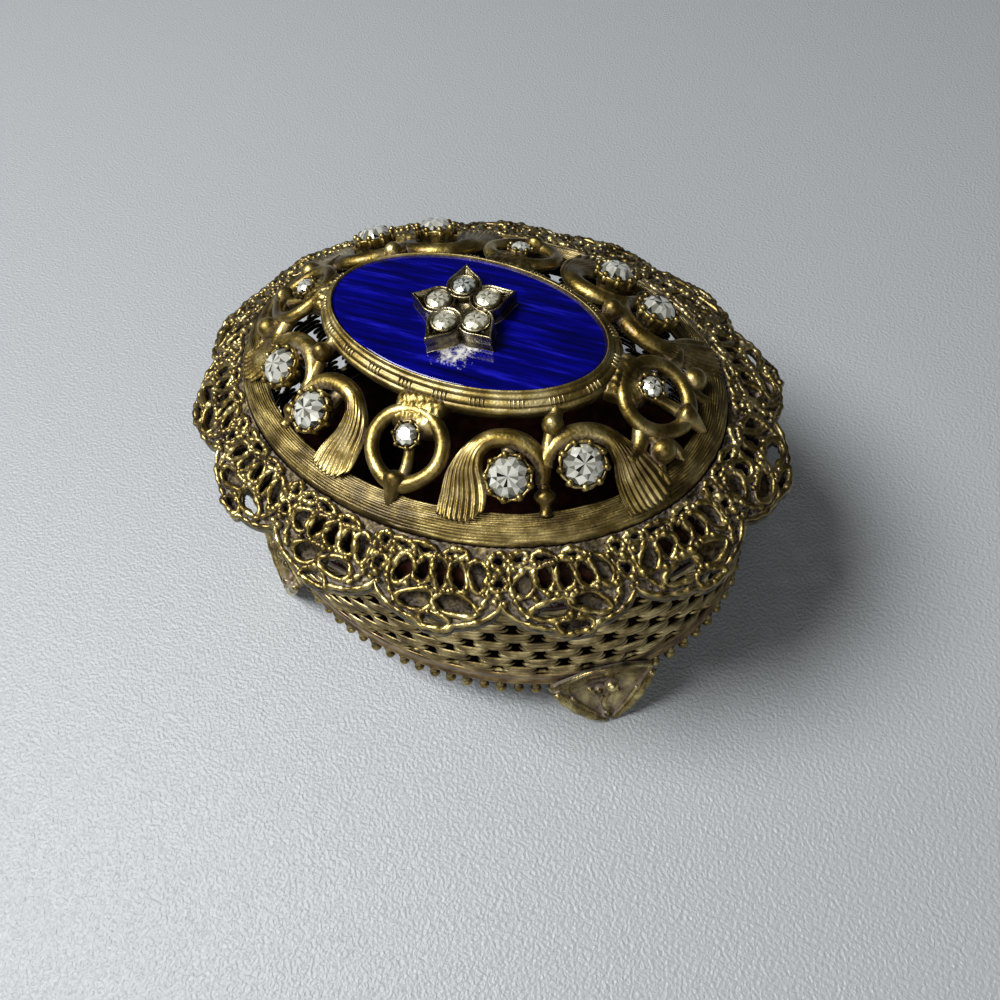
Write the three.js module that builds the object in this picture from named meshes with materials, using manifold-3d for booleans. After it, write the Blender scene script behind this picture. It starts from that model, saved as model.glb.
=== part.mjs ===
// Filigree trinket box, in millimetres, +Z up, the origin on the table under the middle of the box.
// The long side runs along X and the front faces -Y. Every oval is named by its half length, and its
// half width is less by the same amount all through the box, so that bands keep an even width.

import * as THREE from "three";
import { mergeVertices } from "three/addons/utils/BufferGeometryUtils.js";
import Module from "manifold-3d";

const wasm = await Module();
wasm.setup();

const ovalDifference = 7.8;
const ovalSteps = 40;
const fit = 0.3;

// Ovals from the inside out, each set by the one within it
const plaqueRadius = 17.0;
const bezelWidth = 1.6;
const domeWidth = 9.1;
const ringWidth = 3.0;
const ringInset = 5.3;
const laceReach = 9.0;

// Wall, band and base
const footHeight = 8.7;
const wallThickness = 1.4;
const weaveRows = 7;
const rowPitch = 2.7;
const weaveRelief = 0.3;
const wallRim = 1.0;
const bandHeight = 3.1;
const bandThickness = 0.7;
const basePlateThickness = 1.5;

// Bead drops under the band
const dropSpacing = 2.38;
const dropLength = 2.4;
const dropRadius = 0.68;
const dropRoot = 0.6;
const dropWaist = 0.62;

// Feet
const footAngle = 46;
const footWidth = 14.2;
const footRise = 4.1;
const footTipWidth = 2.2;
const footThickness = 1.3;
const footSplay = 1.1;
const footDish = 0.7;
const footTaper = 0.65;

// Lid casting
const lipDepth = 2.0;
const lipThickness = 1.2;
const ringAboveWall = 6.3;
const ringRise = 1.2;
const ringThickness = 1.6;
const ringRibs = 2;
const ribHeight = 0.3;
const shoulderThickness = 1.2;
const domeRise = 5.0;
const domeBulge = 0.5;
const collarWidth = 2.4;
const collarThickness = 1.4;

// Lace border
const lobes = 14;
const lobePhase = 2;
const lobeDepth = 2.8;
const lobeRoundness = 0.6;
const laceSlope = 0.62;
const laceThickness = 1.2;
const laceDrop = 0.3;

// Bezel and plaque
const bezelHeight = 2.7;
const plaqueThickness = 2.1;
const plaqueCrown = 0.2;

// Star
const starTip = 6.33;
const starTurn = 111;
const starHeight = 2.1;
const petalCentre = 2.95;
const petalRadius = 2.05;
const petalSides = 8;
const starBossRadius = 1.7;
const starBossHeight = 1.3;
const starStoneRadius = 1.3;
const starStoneHeight = 0.85;
const starPocketDepth = 1.0;

// Scrollwork in the quarter with x and y above zero, mirrored to the other three. Each point is its
// share of the way from the bezel to the ribbed ring and its parameter angle in degrees.
const wireRadius = 0.8;
const wireLift = 0.2;
const innerScroll = [
  [0.85, 74.8], [0.62, 72.7], [0.4, 67.5], [0.3, 60.7], [0.38, 54.8], [0.57, 52.2], [0.76, 52.2],
];
const outerScroll = [
  [0.73, 51.7], [0.5, 48.9], [0.36, 42.6], [0.37, 34.6], [0.51, 29.3], [0.73, 27.5], [0.94, 28.2],
];
const leafRoot = 1.7;
const leafSpread = 4.95;
const leafRounding = 0.12;
const leafHollow = 0.6;
const leaves = [
  { from: [0.6, 72.6], to: [1.14, 75.6] },
  { from: [0.73, 27.6], to: [1.2, 27.0] },
];
const smallBall = 0.93;
const largeBall = 1.25;
const ballLift = 0.4;
const balls = [
  { at: [0.19, 43.8], radius: smallBall },
  { at: [0.95, 52.7], radius: smallBall },
  { at: [0.89, 13.6], radius: largeBall },
];
const stemRadius = 0.65;
const stemSink = 0.3;
const collarSink = 1.0;
const stems = [
  { from: [0.59, 50.9], to: [-0.02, 42.6], sink: collarSink },
  { from: [0.72, 51.6], to: [1.14, 53.1], sink: stemSink },
  { from: [0.53, 14.5], to: [0.79, 27.3], sink: stemSink },
  { from: [0.86, 13.7], to: [1.12, 12.5], sink: stemSink },
];

// Drop rings, which fill the way from the bezel to the ribbed ring
const dropRingWire = 0.75;
const dropRingLift = 0.2;
const saddleDepth = 1.0;
const saddleWidth = 4.4;
const saddleHeight = 1.7;
const saddleLift = 0.1;
const pointSeat = 0.95;
const barRadius = 0.7;
const barSink = 0.45;

// Stone settings in the same quarter: where each stone's middle comes, and where its web reaches
const largeStones = {
  near: { at: [0.77, 61.2], web: [0.31, 61.8] },
  far: { at: [0.74, 41.1], web: [0.4, 32.9] },
};
const largeStoneRadius = 2.2;
const largeCupHeight = 2.2;
const smallStoneShare = 0.43;
const smallStoneRadius = 1.25;
const smallCupHeight = 1.4;
const webRadius = 0.95;
const webSink = 0.65;
const cupRimWidth = 0.4;
const cupRootShare = 0.72;
const clawHeight = 0.3;

// Cut of the stones, in shares of the radius
const tableShare = 0.55;
const crownShare = 0.42;
const pavilionShare = 0.5;
const girdle = 0.1;

// Half lengths and heights worked out from the sizes above
const bezelRadius = plaqueRadius + fit + bezelWidth;
const ringInnerRadius = bezelRadius + domeWidth;
const ringRadius = ringInnerRadius + ringWidth;
const wallRadius = ringRadius + ringInset;
const laceRadius = ringRadius + fit;
const laceTipRadius = ringRadius + laceReach;
const wallTop = footHeight + bandHeight + weaveRows * rowPitch + wallRim;
const ringOuterZ = wallTop + ringAboveWall;
const ringInnerZ = ringOuterZ + ringRise;
const bezelFoot = ringInnerZ + domeRise;
const bezelTop = bezelFoot + bezelHeight;
const plaqueFoot = bezelFoot + fit;
const plaqueTop = plaqueFoot + plaqueThickness;
const domeAngle = Math.atan2(domeRise, domeWidth);
const dropRingReach = domeWidth / 2 - fit;
const dropRingRadius = dropRingReach / Math.cos(domeAngle) - dropRingWire;

const gilt = new THREE.MeshStandardMaterial({ color: 0x8a6d35, roughness: 0.42, metalness: 1 });
const brightGilt = new THREE.MeshStandardMaterial({ color: 0xb08d48, roughness: 0.3, metalness: 1 });
const enamel = new THREE.MeshStandardMaterial({ color: 0x0a1292, roughness: 0.08, metalness: 0.2 });
const paste = new THREE.MeshStandardMaterial({ color: 0xdfe3e4, roughness: 0.05, metalness: 0.1 });

// A point of the oval with the given half length, at parameter angle t
function ovalPoint(radius, t) {
  const halfWidth = Math.max(radius - ovalDifference, 0);
  return new THREE.Vector2(radius * Math.cos(t), halfWidth * Math.sin(t));
}

function ovalNormal(radius, t) {
  const halfWidth = Math.max(radius - ovalDifference, 0);
  return new THREE.Vector2(halfWidth * Math.cos(t), radius * Math.sin(t)).normalize();
}

// How far a point runs along the oval for each unit of its parameter angle
function ovalPace(radius, t) {
  return Math.hypot(radius * Math.sin(t), (radius - ovalDifference) * Math.cos(t));
}

// The half length of the oval that passes through a plan point, by halving
function ovalThrough(x, y) {
  let low = ovalDifference;
  let high = 2 * laceTipRadius;
  for (let step = 0; step < 50; step++) {
    const middle = (low + high) / 2;
    const reach = (x / middle) ** 2 + (y / (middle - ovalDifference)) ** 2;
    if (reach > 1) low = middle;
    else high = middle;
  }
  return (low + high) / 2;
}

// Parameter angles that divide an oval into equal lengths, starting at a given parameter angle
function evenAngles(radius, count, start) {
  const fine = 2880;
  const lengths = [0];
  for (let k = 0; k < fine; k++) {
    const t = start + ((k + 0.5) * 2 * Math.PI) / fine;
    lengths.push(lengths[k] + (ovalPace(radius, t) * 2 * Math.PI) / fine);
  }
  const angles = [];
  let k = 0;
  for (let i = 0; i < count; i++) {
    const wanted = (lengths[fine] * i) / count;
    while (lengths[k + 1] < wanted) k++;
    const part = (wanted - lengths[k]) / (lengths[k + 1] - lengths[k]);
    angles.push(start + ((k + part) * 2 * Math.PI) / fine);
  }
  return angles;
}

function ovalLength(radius) {
  let length = 0;
  const fine = 720;
  for (let k = 0; k < fine; k++) {
    length += (ovalPace(radius, (k * 2 * Math.PI) / fine) * 2 * Math.PI) / fine;
  }
  return length;
}

// A closed mesh with shared corners and its faces outwards, whichever way it was made or mirrored
function closedMesh(geometry) {
  const bare = new THREE.BufferGeometry();
  bare.setAttribute("position", geometry.getAttribute("position").clone());
  if (geometry.index) bare.setIndex(geometry.index.clone());
  const merged = mergeVertices(bare, 1e-4);
  const place = merged.getAttribute("position");
  const corner = (i) => new THREE.Vector3().fromBufferAttribute(place, i);
  const kept = [];
  let volume = 0;
  for (let i = 0; i < merged.index.count; i += 3) {
    const [a, b, c] = [0, 1, 2].map((k) => merged.index.getX(i + k));
    if (a === b || b === c || c === a) continue;
    kept.push(a, b, c);
    volume += corner(a).dot(corner(b).cross(corner(c)));
  }
  if (volume < 0) {
    for (let i = 0; i < kept.length; i += 3) [kept[i + 1], kept[i + 2]] = [kept[i + 2], kept[i + 1]];
  }
  merged.setIndex(kept);
  return merged;
}

function toSolid(geometry) {
  const mesh = closedMesh(geometry);
  const vertProperties = new Float32Array(mesh.getAttribute("position").array);
  const triVerts = new Uint32Array(mesh.index.array);
  return new wasm.Manifold(new wasm.Mesh({ numProp: 3, vertProperties, triVerts }));
}

function toGeometry(solid) {
  const mesh = solid.getMesh();
  const geometry = new THREE.BufferGeometry();
  geometry.setAttribute("position", new THREE.BufferAttribute(new Float32Array(mesh.vertProperties), 3));
  geometry.setIndex(new THREE.BufferAttribute(new Uint32Array(mesh.triVerts), 1));
  return geometry;
}

function join(geometries) {
  return toGeometry(geometries.map(toSolid).reduce((whole, piece) => whole.add(piece)));
}

function cut(geometry, tools) {
  return toGeometry(tools.map(toSolid).reduce((whole, tool) => whole.subtract(tool), toSolid(geometry)));
}

function mirrored(geometry, signX, signY) {
  return closedMesh(geometry.clone().scale(signX, signY, 1));
}

const quarters = [
  { name: "front_right", signX: 1, signY: -1 },
  { name: "front_left", signX: -1, signY: -1 },
  { name: "back_left", signX: -1, signY: 1 },
  { name: "back_right", signX: 1, signY: 1 },
];

// Sweeps a closed profile of [radius, height] points round, with place() putting each one
function sweep(profile, steps, place) {
  const positions = [];
  const index = [];
  const count = profile.length;
  for (let j = 0; j < steps; j++) {
    const t = (2 * Math.PI * j) / steps;
    for (const [radius, height] of profile) positions.push(...place(radius, height, t, j).toArray());
  }
  for (let j = 0; j < steps; j++) {
    const next = (j + 1) % steps;
    for (let i = 0; i < count; i++) {
      const up = (i + 1) % count;
      const corners = [j * count + i, next * count + i, next * count + up, j * count + up];
      index.push(corners[0], corners[1], corners[2], corners[0], corners[2], corners[3]);
    }
  }
  const geometry = new THREE.BufferGeometry();
  geometry.setAttribute("position", new THREE.Float32BufferAttribute(positions, 3));
  geometry.setIndex(index);
  return closedMesh(geometry);
}

function ovalSweep(profile) {
  return sweep(profile, ovalSteps, (radius, height, t) => {
    const point = radius > 0 ? ovalPoint(radius, t) : new THREE.Vector2();
    return new THREE.Vector3(point.x, point.y, height);
  });
}

// A turned piece. With a crown, every second corner of the points above crownFrom stands higher.
function turned(profile, sides, crown = 0, crownFrom = Infinity) {
  return sweep(profile, sides, (radius, height, t, j) => {
    const raise = j % 2 === 0 && height >= crownFrom ? crown : 0;
    return new THREE.Vector3(radius * Math.cos(t), radius * Math.sin(t), height + raise);
  });
}

// A plate between two grids of points, with the cells that keep() refuses left open
function slab(top, bottom, wraps, keep = () => true) {
  const rows = top.length;
  const columns = top[0].length;
  const cellRows = wraps ? rows : rows - 1;
  const kept = (i, j) => {
    if (j < 0 || j >= columns - 1) return false;
    if (!wraps && (i < 0 || i >= cellRows)) return false;
    return keep((i + cellRows) % cellRows, j);
  };
  const at = (side, i, j) => (side * rows + (i % rows)) * columns + j;
  const positions = [top, bottom].flat(2).flatMap((point) => point.toArray());
  const index = [];
  const quad = (a, b, c, d) => index.push(a, b, c, a, c, d);
  for (let i = 0; i < cellRows; i++) {
    for (let j = 0; j < columns - 1; j++) {
      if (!kept(i, j)) continue;
      quad(at(0, i, j), at(0, i, j + 1), at(0, i + 1, j + 1), at(0, i + 1, j));
      quad(at(1, i, j), at(1, i + 1, j), at(1, i + 1, j + 1), at(1, i, j + 1));
      if (!kept(i - 1, j)) quad(at(0, i, j), at(1, i, j), at(1, i, j + 1), at(0, i, j + 1));
      if (!kept(i + 1, j)) quad(at(0, i + 1, j + 1), at(1, i + 1, j + 1), at(1, i + 1, j), at(0, i + 1, j));
      if (!kept(i, j - 1)) quad(at(0, i + 1, j), at(1, i + 1, j), at(1, i, j), at(0, i, j));
      if (!kept(i, j + 1)) quad(at(0, i, j + 1), at(1, i, j + 1), at(1, i + 1, j + 1), at(0, i + 1, j + 1));
    }
  }
  const geometry = new THREE.BufferGeometry();
  geometry.setAttribute("position", new THREE.Float32BufferAttribute(positions, 3));
  geometry.setIndex(index);
  return closedMesh(geometry);
}

// The lid's dome between bezel and ribbed ring
function domeHeight(radius) {
  const part = (radius - bezelRadius) / domeWidth;
  return bezelFoot - part * domeRise + domeBulge * 4 * part * (1 - part);
}

// The plan point at a share of the way from the bezel to the ribbed ring, at a parameter angle
function inPlan([share, degrees]) {
  return ovalPoint(bezelRadius + share * domeWidth, THREE.MathUtils.degToRad(degrees)).toArray();
}

function onDome([x, y], lift = 0) {
  return new THREE.Vector3(x, y, domeHeight(ovalThrough(x, y)) + lift);
}

function domeNormal([x, y]) {
  const radius = ovalThrough(x, y);
  const halfWidth = radius - ovalDifference;
  const out = new THREE.Vector2(x / radius ** 2, y / halfWidth ** 2).normalize();
  return new THREE.Vector3(out.x * Math.sin(domeAngle), out.y * Math.sin(domeAngle), Math.cos(domeAngle));
}

// Stands a piece that was made on +Z upright on the dome at a point
function standing(geometry, at, normal) {
  const turn = new THREE.Quaternion().setFromUnitVectors(new THREE.Vector3(0, 0, 1), normal);
  return geometry.clone().applyQuaternion(turn).translate(at.x, at.y, at.z);
}

function wire(points, radius, steps, sides = 4) {
  const section = new THREE.Shape();
  for (let k = 0; k < sides; k++) {
    const t = (2 * Math.PI * (k + 0.5)) / sides;
    if (k === 0) section.moveTo(radius * Math.cos(t), radius * Math.sin(t));
    else section.lineTo(radius * Math.cos(t), radius * Math.sin(t));
  }
  section.closePath();
  const path = points.length > 2 ? new THREE.CatmullRomCurve3(points) : new THREE.LineCurve3(...points);
  return new THREE.ExtrudeGeometry(section, { steps, extrudePath: path, bevelEnabled: false });
}

// Basket wall: the woven height stands proud of its plain foot and of the rim's inner edge
function makeWall() {
  const inner = wallRadius - wallThickness;
  const behind = wallRadius - weaveRelief;
  const weaveFoot = footHeight + bandHeight;
  return ovalSweep([
    [inner, footHeight], [behind, footHeight], [behind, weaveFoot], [wallRadius, weaveFoot],
    [wallRadius, wallTop], [inner, wallTop],
  ]);
}

function makeBasePlate() {
  const radius = wallRadius - wallThickness - fit;
  const top = footHeight + basePlateThickness;
  return ovalSweep([[0, footHeight], [radius, footHeight], [radius, top], [0, top]]);
}

// Plain band round the foot of the wall with its hanging drops, which stop at the feet
function makeBeadRim() {
  const inner = wallRadius + fit;
  const outer = inner + bandThickness;
  const middle = (inner + outer) / 2;
  const top = footHeight + bandHeight;
  const band = ovalSweep([[inner, footHeight], [outer, footHeight], [outer, top], [inner, top]]);
  const drop = turned([[0, dropRoot], [dropRadius, -dropWaist * dropLength], [0, -dropLength]], 4);
  const count = Math.round(ovalLength(middle) / dropSpacing);
  const clear = footWidth / 2 - dropSpacing / 4;
  const drops = [];
  for (const t of evenAngles(middle, count, Math.PI / count)) {
    const point = ovalPoint(middle, t);
    const blocked = quarters.some(({ signX, signY }) => {
      const foot = ovalPoint(middle, THREE.MathUtils.degToRad(footAngle));
      return Math.hypot(point.x - signX * foot.x, point.y - signY * foot.y) < clear;
    });
    if (!blocked) drops.push(drop.clone().translate(point.x, point.y, footHeight));
  }
  return join([band, ...drops]);
}

// A leaf foot: arched at the top, drawn in to a tip on the table, dished between its rolled sides
function makeFoot() {
  const middle = THREE.MathUtils.degToRad(footAngle);
  const across = 6;
  const down = 4;
  const clear = bandThickness + 2 * fit;
  const front = [];
  const back = [];
  for (let i = 0; i <= across; i++) {
    const side = (2 * i) / across - 1;
    const arch = footHeight + footRise * (1 - side * side);
    front.push([]);
    back.push([]);
    for (let j = 0; j <= down; j++) {
      const part = j / down;
      const narrow = (1 - part) ** footTaper;
      const half = (footTipWidth + (footWidth - footTipWidth) * narrow) / 2;
      const height = arch * (1 - part);
      const t = middle + (side * half) / ovalPace(wallRadius, middle);
      const dish = footDish * (1 - Math.abs(side)) * Math.sin(Math.PI * part);
      const outside = clear + footThickness + footSplay * part - dish;
      const out = ovalNormal(wallRadius, t);
      const near = ovalPoint(wallRadius, t).addScaledVector(out, outside - footThickness);
      const far = ovalPoint(wallRadius, t).addScaledVector(out, outside);
      front[i].push(new THREE.Vector3(far.x, far.y, height));
      back[i].push(new THREE.Vector3(near.x, near.y, height));
    }
  }
  return slab(front, back, false);
}

function laceTop(radius) {
  return ringOuterZ - laceDrop - laceSlope * (radius - laceRadius);
}

// Ribbed ring, the shoulder that slopes out to the wall's top, and the lip that drops inside the wall
function makeRibbedRing() {
  const shoulder = (radius) => laceTop(radius) - laceThickness - fit;
  const lipOuter = wallRadius - wallThickness - fit;
  const lipInner = lipOuter - lipThickness;
  const rest = wallTop + fit;
  const profile = [
    [ringInnerRadius, ringInnerZ - ringThickness],
    [lipInner, shoulder(lipInner) - shoulderThickness],
    [lipInner, wallTop - lipDepth],
    [lipOuter, wallTop - lipDepth],
    [lipOuter, rest],
    [wallRadius, rest],
    [wallRadius, shoulder(wallRadius)],
    [ringRadius, shoulder(ringRadius)],
  ];
  for (let rib = 0; rib < ringRibs; rib++) {
    for (const [part, raise] of [[rib / ringRibs, 0], [(rib + 0.5) / ringRibs, ribHeight]]) {
      profile.push([ringRadius - part * ringWidth, ringOuterZ + part * ringRise + raise]);
    }
  }
  profile.push([ringInnerRadius, ringInnerZ]);
  return ovalSweep(profile);
}

// Inner collar of the openwork, which carries the bezel and the plaque
function makeCollar() {
  const inner = plaqueRadius - collarWidth;
  const foot = bezelFoot - collarThickness;
  return ovalSweep([[inner, foot], [bezelRadius, foot], [bezelRadius, bezelFoot], [inner, bezelFoot]]);
}

// A fluted fan that runs from a scroll's end into the ribbed ring
function makeLeaf({ from, to }) {
  const along = 2;
  const across = 2;
  const start = new THREE.Vector2(...inPlan(from));
  const course = new THREE.Vector2(...inPlan(to)).sub(start);
  const sideways = new THREE.Vector2(-course.y, course.x).normalize();
  const top = [];
  const bottom = [];
  for (let i = 0; i <= across; i++) {
    const side = (2 * i) / across - 1;
    top.push([]);
    bottom.push([]);
    for (let j = 0; j <= along; j++) {
      const part = j / along;
      const half = (leafRoot + (leafSpread - leafRoot) * part) / 2;
      const reach = part * (1 - leafRounding * side * side);
      const x = start.x + course.x * reach + sideways.x * side * half;
      const y = start.y + course.y * reach + sideways.y * side * half;
      const flute = i % 2 === 0 ? wireRadius : wireRadius * leafHollow;
      const height = domeHeight(Math.min(ovalThrough(x, y), ringInnerRadius));
      top[i].push(new THREE.Vector3(x, y, height + flute));
      bottom[i].push(new THREE.Vector3(x, y, height - wireRadius));
    }
  }
  return slab(top, bottom, false);
}

// A drop ring: the loop, its saddle against the bezel, its point in the ribbed ring and the bar that
// carries its cup. The short and long ends of the box differ only by the ovals' difference.
function makeDropRing(direction) {
  const along = (radius) => {
    const distance = direction.x === 0 ? radius - ovalDifference : radius;
    return [direction.x * distance, direction.y * distance];
  };
  const centre = (bezelRadius + ringInnerRadius) / 2;
  const outer = centre + dropRingReach;
  const stone = bezelRadius + smallStoneShare * domeWidth;
  const loop = new THREE.TorusGeometry(dropRingRadius, dropRingWire, 4, 12);
  const turn = Math.atan2(direction.y, direction.x);
  const saddle = new THREE.BoxGeometry(saddleDepth, saddleWidth, saddleHeight);
  const seat = onDome(along(bezelRadius + 2 * fit + saddleDepth / 2), saddleLift);
  const spike = [
    onDome(along(outer - wireRadius)),
    onDome(along(ringInnerRadius + pointSeat), -dropRingLift),
  ];
  const barEnds = [stone - smallStoneRadius, outer - dropRingWire];
  return [
    standing(loop, onDome(along(centre), dropRingLift), domeNormal(along(centre))),
    saddle.rotateY(domeAngle).rotateZ(turn).translate(seat.x, seat.y, seat.z),
    wire(spike, wireRadius, 1),
    wire(barEnds.map((radius) => onDome(along(radius), -barSink)), barRadius, 1),
  ];
}

// Where a cup stands, so that its stone comes over the given plan point
function cupPlace(stone, height) {
  const normal = domeNormal(stone);
  const foot = [stone[0] - normal.x * height, stone[1] - normal.y * height];
  return { normal, foot };
}

// The web that carries a large cup, from under its middle to a point on the scrollwork
function makeWeb({ at, web }) {
  const { foot } = cupPlace(inPlan(at), largeCupHeight);
  return wire([onDome(foot, -webSink), onDome(inPlan(web), -webSink)], webRadius, 1);
}

// The pierced casting: ring, collar, and a quarter of scrollwork mirrored four times
function makeOpenwork() {
  const onCasting = (point, lift = 0) => onDome(inPlan(point), lift);
  const scroll = (points) => wire(points.map((point) => onCasting(point, wireLift)), wireRadius, 7, 5);
  const quarter = [
    scroll(innerScroll),
    scroll(outerScroll),
    ...leaves.map(makeLeaf),
    ...balls.map(({ at, radius }) => {
      const place = onCasting(at, ballLift);
      return new THREE.IcosahedronGeometry(radius).translate(place.x, place.y, place.z);
    }),
    ...stems.map(({ from, to, sink }) => wire([onCasting(from), onCasting(to, -sink)], stemRadius, 1)),
    ...Object.values(largeStones).map(makeWeb),
  ];
  const pieces = [makeRibbedRing(), makeCollar()];
  for (const { signX, signY } of quarters) {
    for (const piece of quarter) pieces.push(mirrored(piece, signX, signY));
  }
  for (const sign of [1, -1]) {
    pieces.push(...makeDropRing(new THREE.Vector2(sign, 0)), ...makeDropRing(new THREE.Vector2(0, sign)));
  }
  return join(pieces);
}

// Lace border: lobes of even length round the oval, sloping out and down, each pierced at its middle
// and between it and the next
function makeLace() {
  const columns = 6;
  const rows = 4;
  const piercedRow = 1;
  const posts = [1, 4];
  const angles = evenAngles(laceTipRadius, lobes * columns, THREE.MathUtils.degToRad(lobePhase));
  const top = [];
  const bottom = [];
  angles.forEach((t, i) => {
    const swell = Math.abs(Math.cos((Math.PI * (i % columns)) / columns)) ** lobeRoundness;
    const edge = laceTipRadius - lobeDepth * (1 - swell);
    top.push([]);
    bottom.push([]);
    for (let j = 0; j < rows; j++) {
      const radius = laceRadius + ((edge - laceRadius) * j) / (rows - 1);
      const point = ovalPoint(radius, t);
      top[i].push(new THREE.Vector3(point.x, point.y, laceTop(radius)));
      bottom[i].push(new THREE.Vector3(point.x, point.y, laceTop(radius) - laceThickness));
    }
  });
  return slab(top, bottom, true, (i, j) => j !== piercedRow || posts.includes(i % columns));
}

// Reeded bezel: a lip round the plaque, and a ridge sloping down from it to a plain foot
function makeBezel() {
  const foot = bezelFoot + fit;
  const profile = [[0, 0], [1, 0], [1, 0.4], [0.6, 0.6], [0.3, 1], [0, 1]];
  return ovalSweep(profile.map(([across, up]) => [
    plaqueRadius + fit + across * bezelWidth,
    foot + up * (bezelTop - foot),
  ]));
}

// The plaque, slightly domed
function makePlaque() {
  const crowned = (share) => [share * plaqueRadius, plaqueTop + (1 - share ** 2) * plaqueCrown];
  return ovalSweep([[0, plaqueFoot], [plaqueRadius, plaqueFoot], crowned(1), crowned(0.7), crowned(0)]);
}

const starFoot = plaqueTop + plaqueCrown + fit;
const petalAngles = [0, 1, 2, 3, 4].map((k) => THREE.MathUtils.degToRad(starTurn - (360 * k) / 5));

function makePetal(turn) {
  const open = Math.acos(petalRadius / (starTip - petalCentre));
  const outline = new THREE.Shape();
  outline.moveTo(starTip, 0);
  for (let k = 0; k <= petalSides; k++) {
    const t = open + ((2 * Math.PI - 2 * open) * k) / petalSides;
    outline.lineTo(petalCentre + petalRadius * Math.cos(t), petalRadius * Math.sin(t));
  }
  outline.closePath();
  const petal = new THREE.ExtrudeGeometry(outline, { depth: starHeight, bevelEnabled: false });
  return petal.rotateZ(turn).translate(0, 0, starFoot);
}

function makeStar() {
  const boss = turned(
    [[0, 0], [starBossRadius, 0], [starBossRadius, starBossHeight], [0, starBossHeight]],
    10,
  );
  const pocketRadius = starStoneRadius + fit;
  const pocketFoot = starHeight - starPocketDepth;
  const pocket = turned([[0, pocketFoot], [pocketRadius, pocketFoot], [pocketRadius, starHeight + 1],
    [0, starHeight + 1]], 8);
  pocket.translate(petalCentre, 0, starFoot);
  const pockets = petalAngles.map((turn) => pocket.clone().rotateZ(turn));
  return cut(join([...petalAngles.map(makePetal), boss.translate(0, 0, starFoot)]), pockets);
}

// A low stone in its petal's pocket: girdle, crown and table
function makeStarStone(turn) {
  const foot = starFoot + starHeight - starPocketDepth + fit;
  const crownFoot = starStoneHeight / 2;
  const stone = turned([[0, 0], [starStoneRadius, girdle], [starStoneRadius, crownFoot],
    [tableShare * starStoneRadius, starStoneHeight], [0, starStoneHeight]], 6);
  return stone.translate(petalCentre, 0, foot).rotateZ(turn);
}

// A claw cup: tapered, crowned with claws, hollow above for its stone
function makeCup(stoneRadius, height) {
  const rim = stoneRadius + fit;
  const hollow = height - pavilionShare * stoneRadius - fit;
  const profile = [
    [0, fit], [cupRootShare * rim, fit], [rim + cupRimWidth, height], [rim, height],
    [pavilionShare * rim, hollow], [0, hollow],
  ];
  return turned(profile, 8, clawHeight, height);
}

// A brilliant: pavilion, girdle, crown and table
function makeStone(radius, height, sides) {
  const table = height + crownShare * radius;
  return turned([[0, height - pavilionShare * radius], [radius, height], [radius, height + girdle],
    [tableShare * radius, table], [0, table]], sides);
}

function settle(geometry, stone, height) {
  const { normal, foot } = cupPlace(stone, height);
  return standing(geometry, onDome(foot), normal);
}

const box = new THREE.Group();

function place(name, geometry, material) {
  const mesh = new THREE.Mesh(geometry, material);
  mesh.name = name;
  box.add(mesh);
}

place("basket_wall", makeWall(), gilt);
place("base_plate", makeBasePlate(), gilt);
place("bead_rim", makeBeadRim(), gilt);
place("lid_openwork", makeOpenwork(), brightGilt);
place("lace_border", makeLace(), gilt);
place("bezel", makeBezel(), brightGilt);
place("enamel_plaque", makePlaque(), enamel);
place("star", makeStar(), brightGilt);
petalAngles.forEach((turn, k) => place(`star_stone_${k + 1}`, makeStarStone(turn), paste));

const foot = makeFoot();
const largeCup = makeCup(largeStoneRadius, largeCupHeight);
const largeStone = makeStone(largeStoneRadius, largeCupHeight, 8);
for (const { name, signX, signY } of quarters) {
  place(`foot_${name}`, mirrored(foot, signX, signY), gilt);
  for (const [set, { at }] of Object.entries(largeStones)) {
    const seat = inPlan(at);
    place(`cup_${name}_${set}`, mirrored(settle(largeCup, seat, largeCupHeight), signX, signY), brightGilt);
    place(`stone_${name}_${set}`, mirrored(settle(largeStone, seat, largeCupHeight), signX, signY), paste);
  }
}

const smallCup = makeCup(smallStoneRadius, smallCupHeight);
const smallStone = makeStone(smallStoneRadius, smallCupHeight, 6);
for (const [name, degrees] of Object.entries({ right: 0, back: 90, left: 180, front: 270 })) {
  const seat = inPlan([smallStoneShare, degrees]);
  place(`cup_${name}`, settle(smallCup, seat, smallCupHeight), brightGilt);
  place(`stone_${name}`, settle(smallStone, seat, smallCupHeight), paste);
}

export default box;
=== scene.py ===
import math
import random
import bpy
import numpy as np
from mathutils import Matrix, Vector


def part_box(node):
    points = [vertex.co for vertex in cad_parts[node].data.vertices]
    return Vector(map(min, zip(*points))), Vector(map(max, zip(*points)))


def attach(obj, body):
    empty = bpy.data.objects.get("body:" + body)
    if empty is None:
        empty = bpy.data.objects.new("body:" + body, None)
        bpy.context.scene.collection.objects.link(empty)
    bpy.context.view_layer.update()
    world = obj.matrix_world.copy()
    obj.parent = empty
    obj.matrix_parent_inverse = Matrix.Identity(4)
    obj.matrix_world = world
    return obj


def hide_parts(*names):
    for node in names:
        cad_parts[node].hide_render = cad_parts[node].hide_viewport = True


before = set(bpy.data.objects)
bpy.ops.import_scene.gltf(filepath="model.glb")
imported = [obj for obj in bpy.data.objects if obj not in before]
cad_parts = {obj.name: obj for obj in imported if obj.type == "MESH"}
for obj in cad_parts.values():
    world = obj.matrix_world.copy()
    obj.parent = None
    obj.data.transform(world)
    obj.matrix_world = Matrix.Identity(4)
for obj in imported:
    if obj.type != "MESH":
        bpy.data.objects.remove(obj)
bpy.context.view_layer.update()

mm = 0.001  # shapes are worked out in millimetres and made in metres


# What the frame says: every oval is a half length, and its half width is less by the same amount

def frameBox(node):
    low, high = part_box(node)
    return [v / mm for v in low], [v / mm for v in high]


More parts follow.
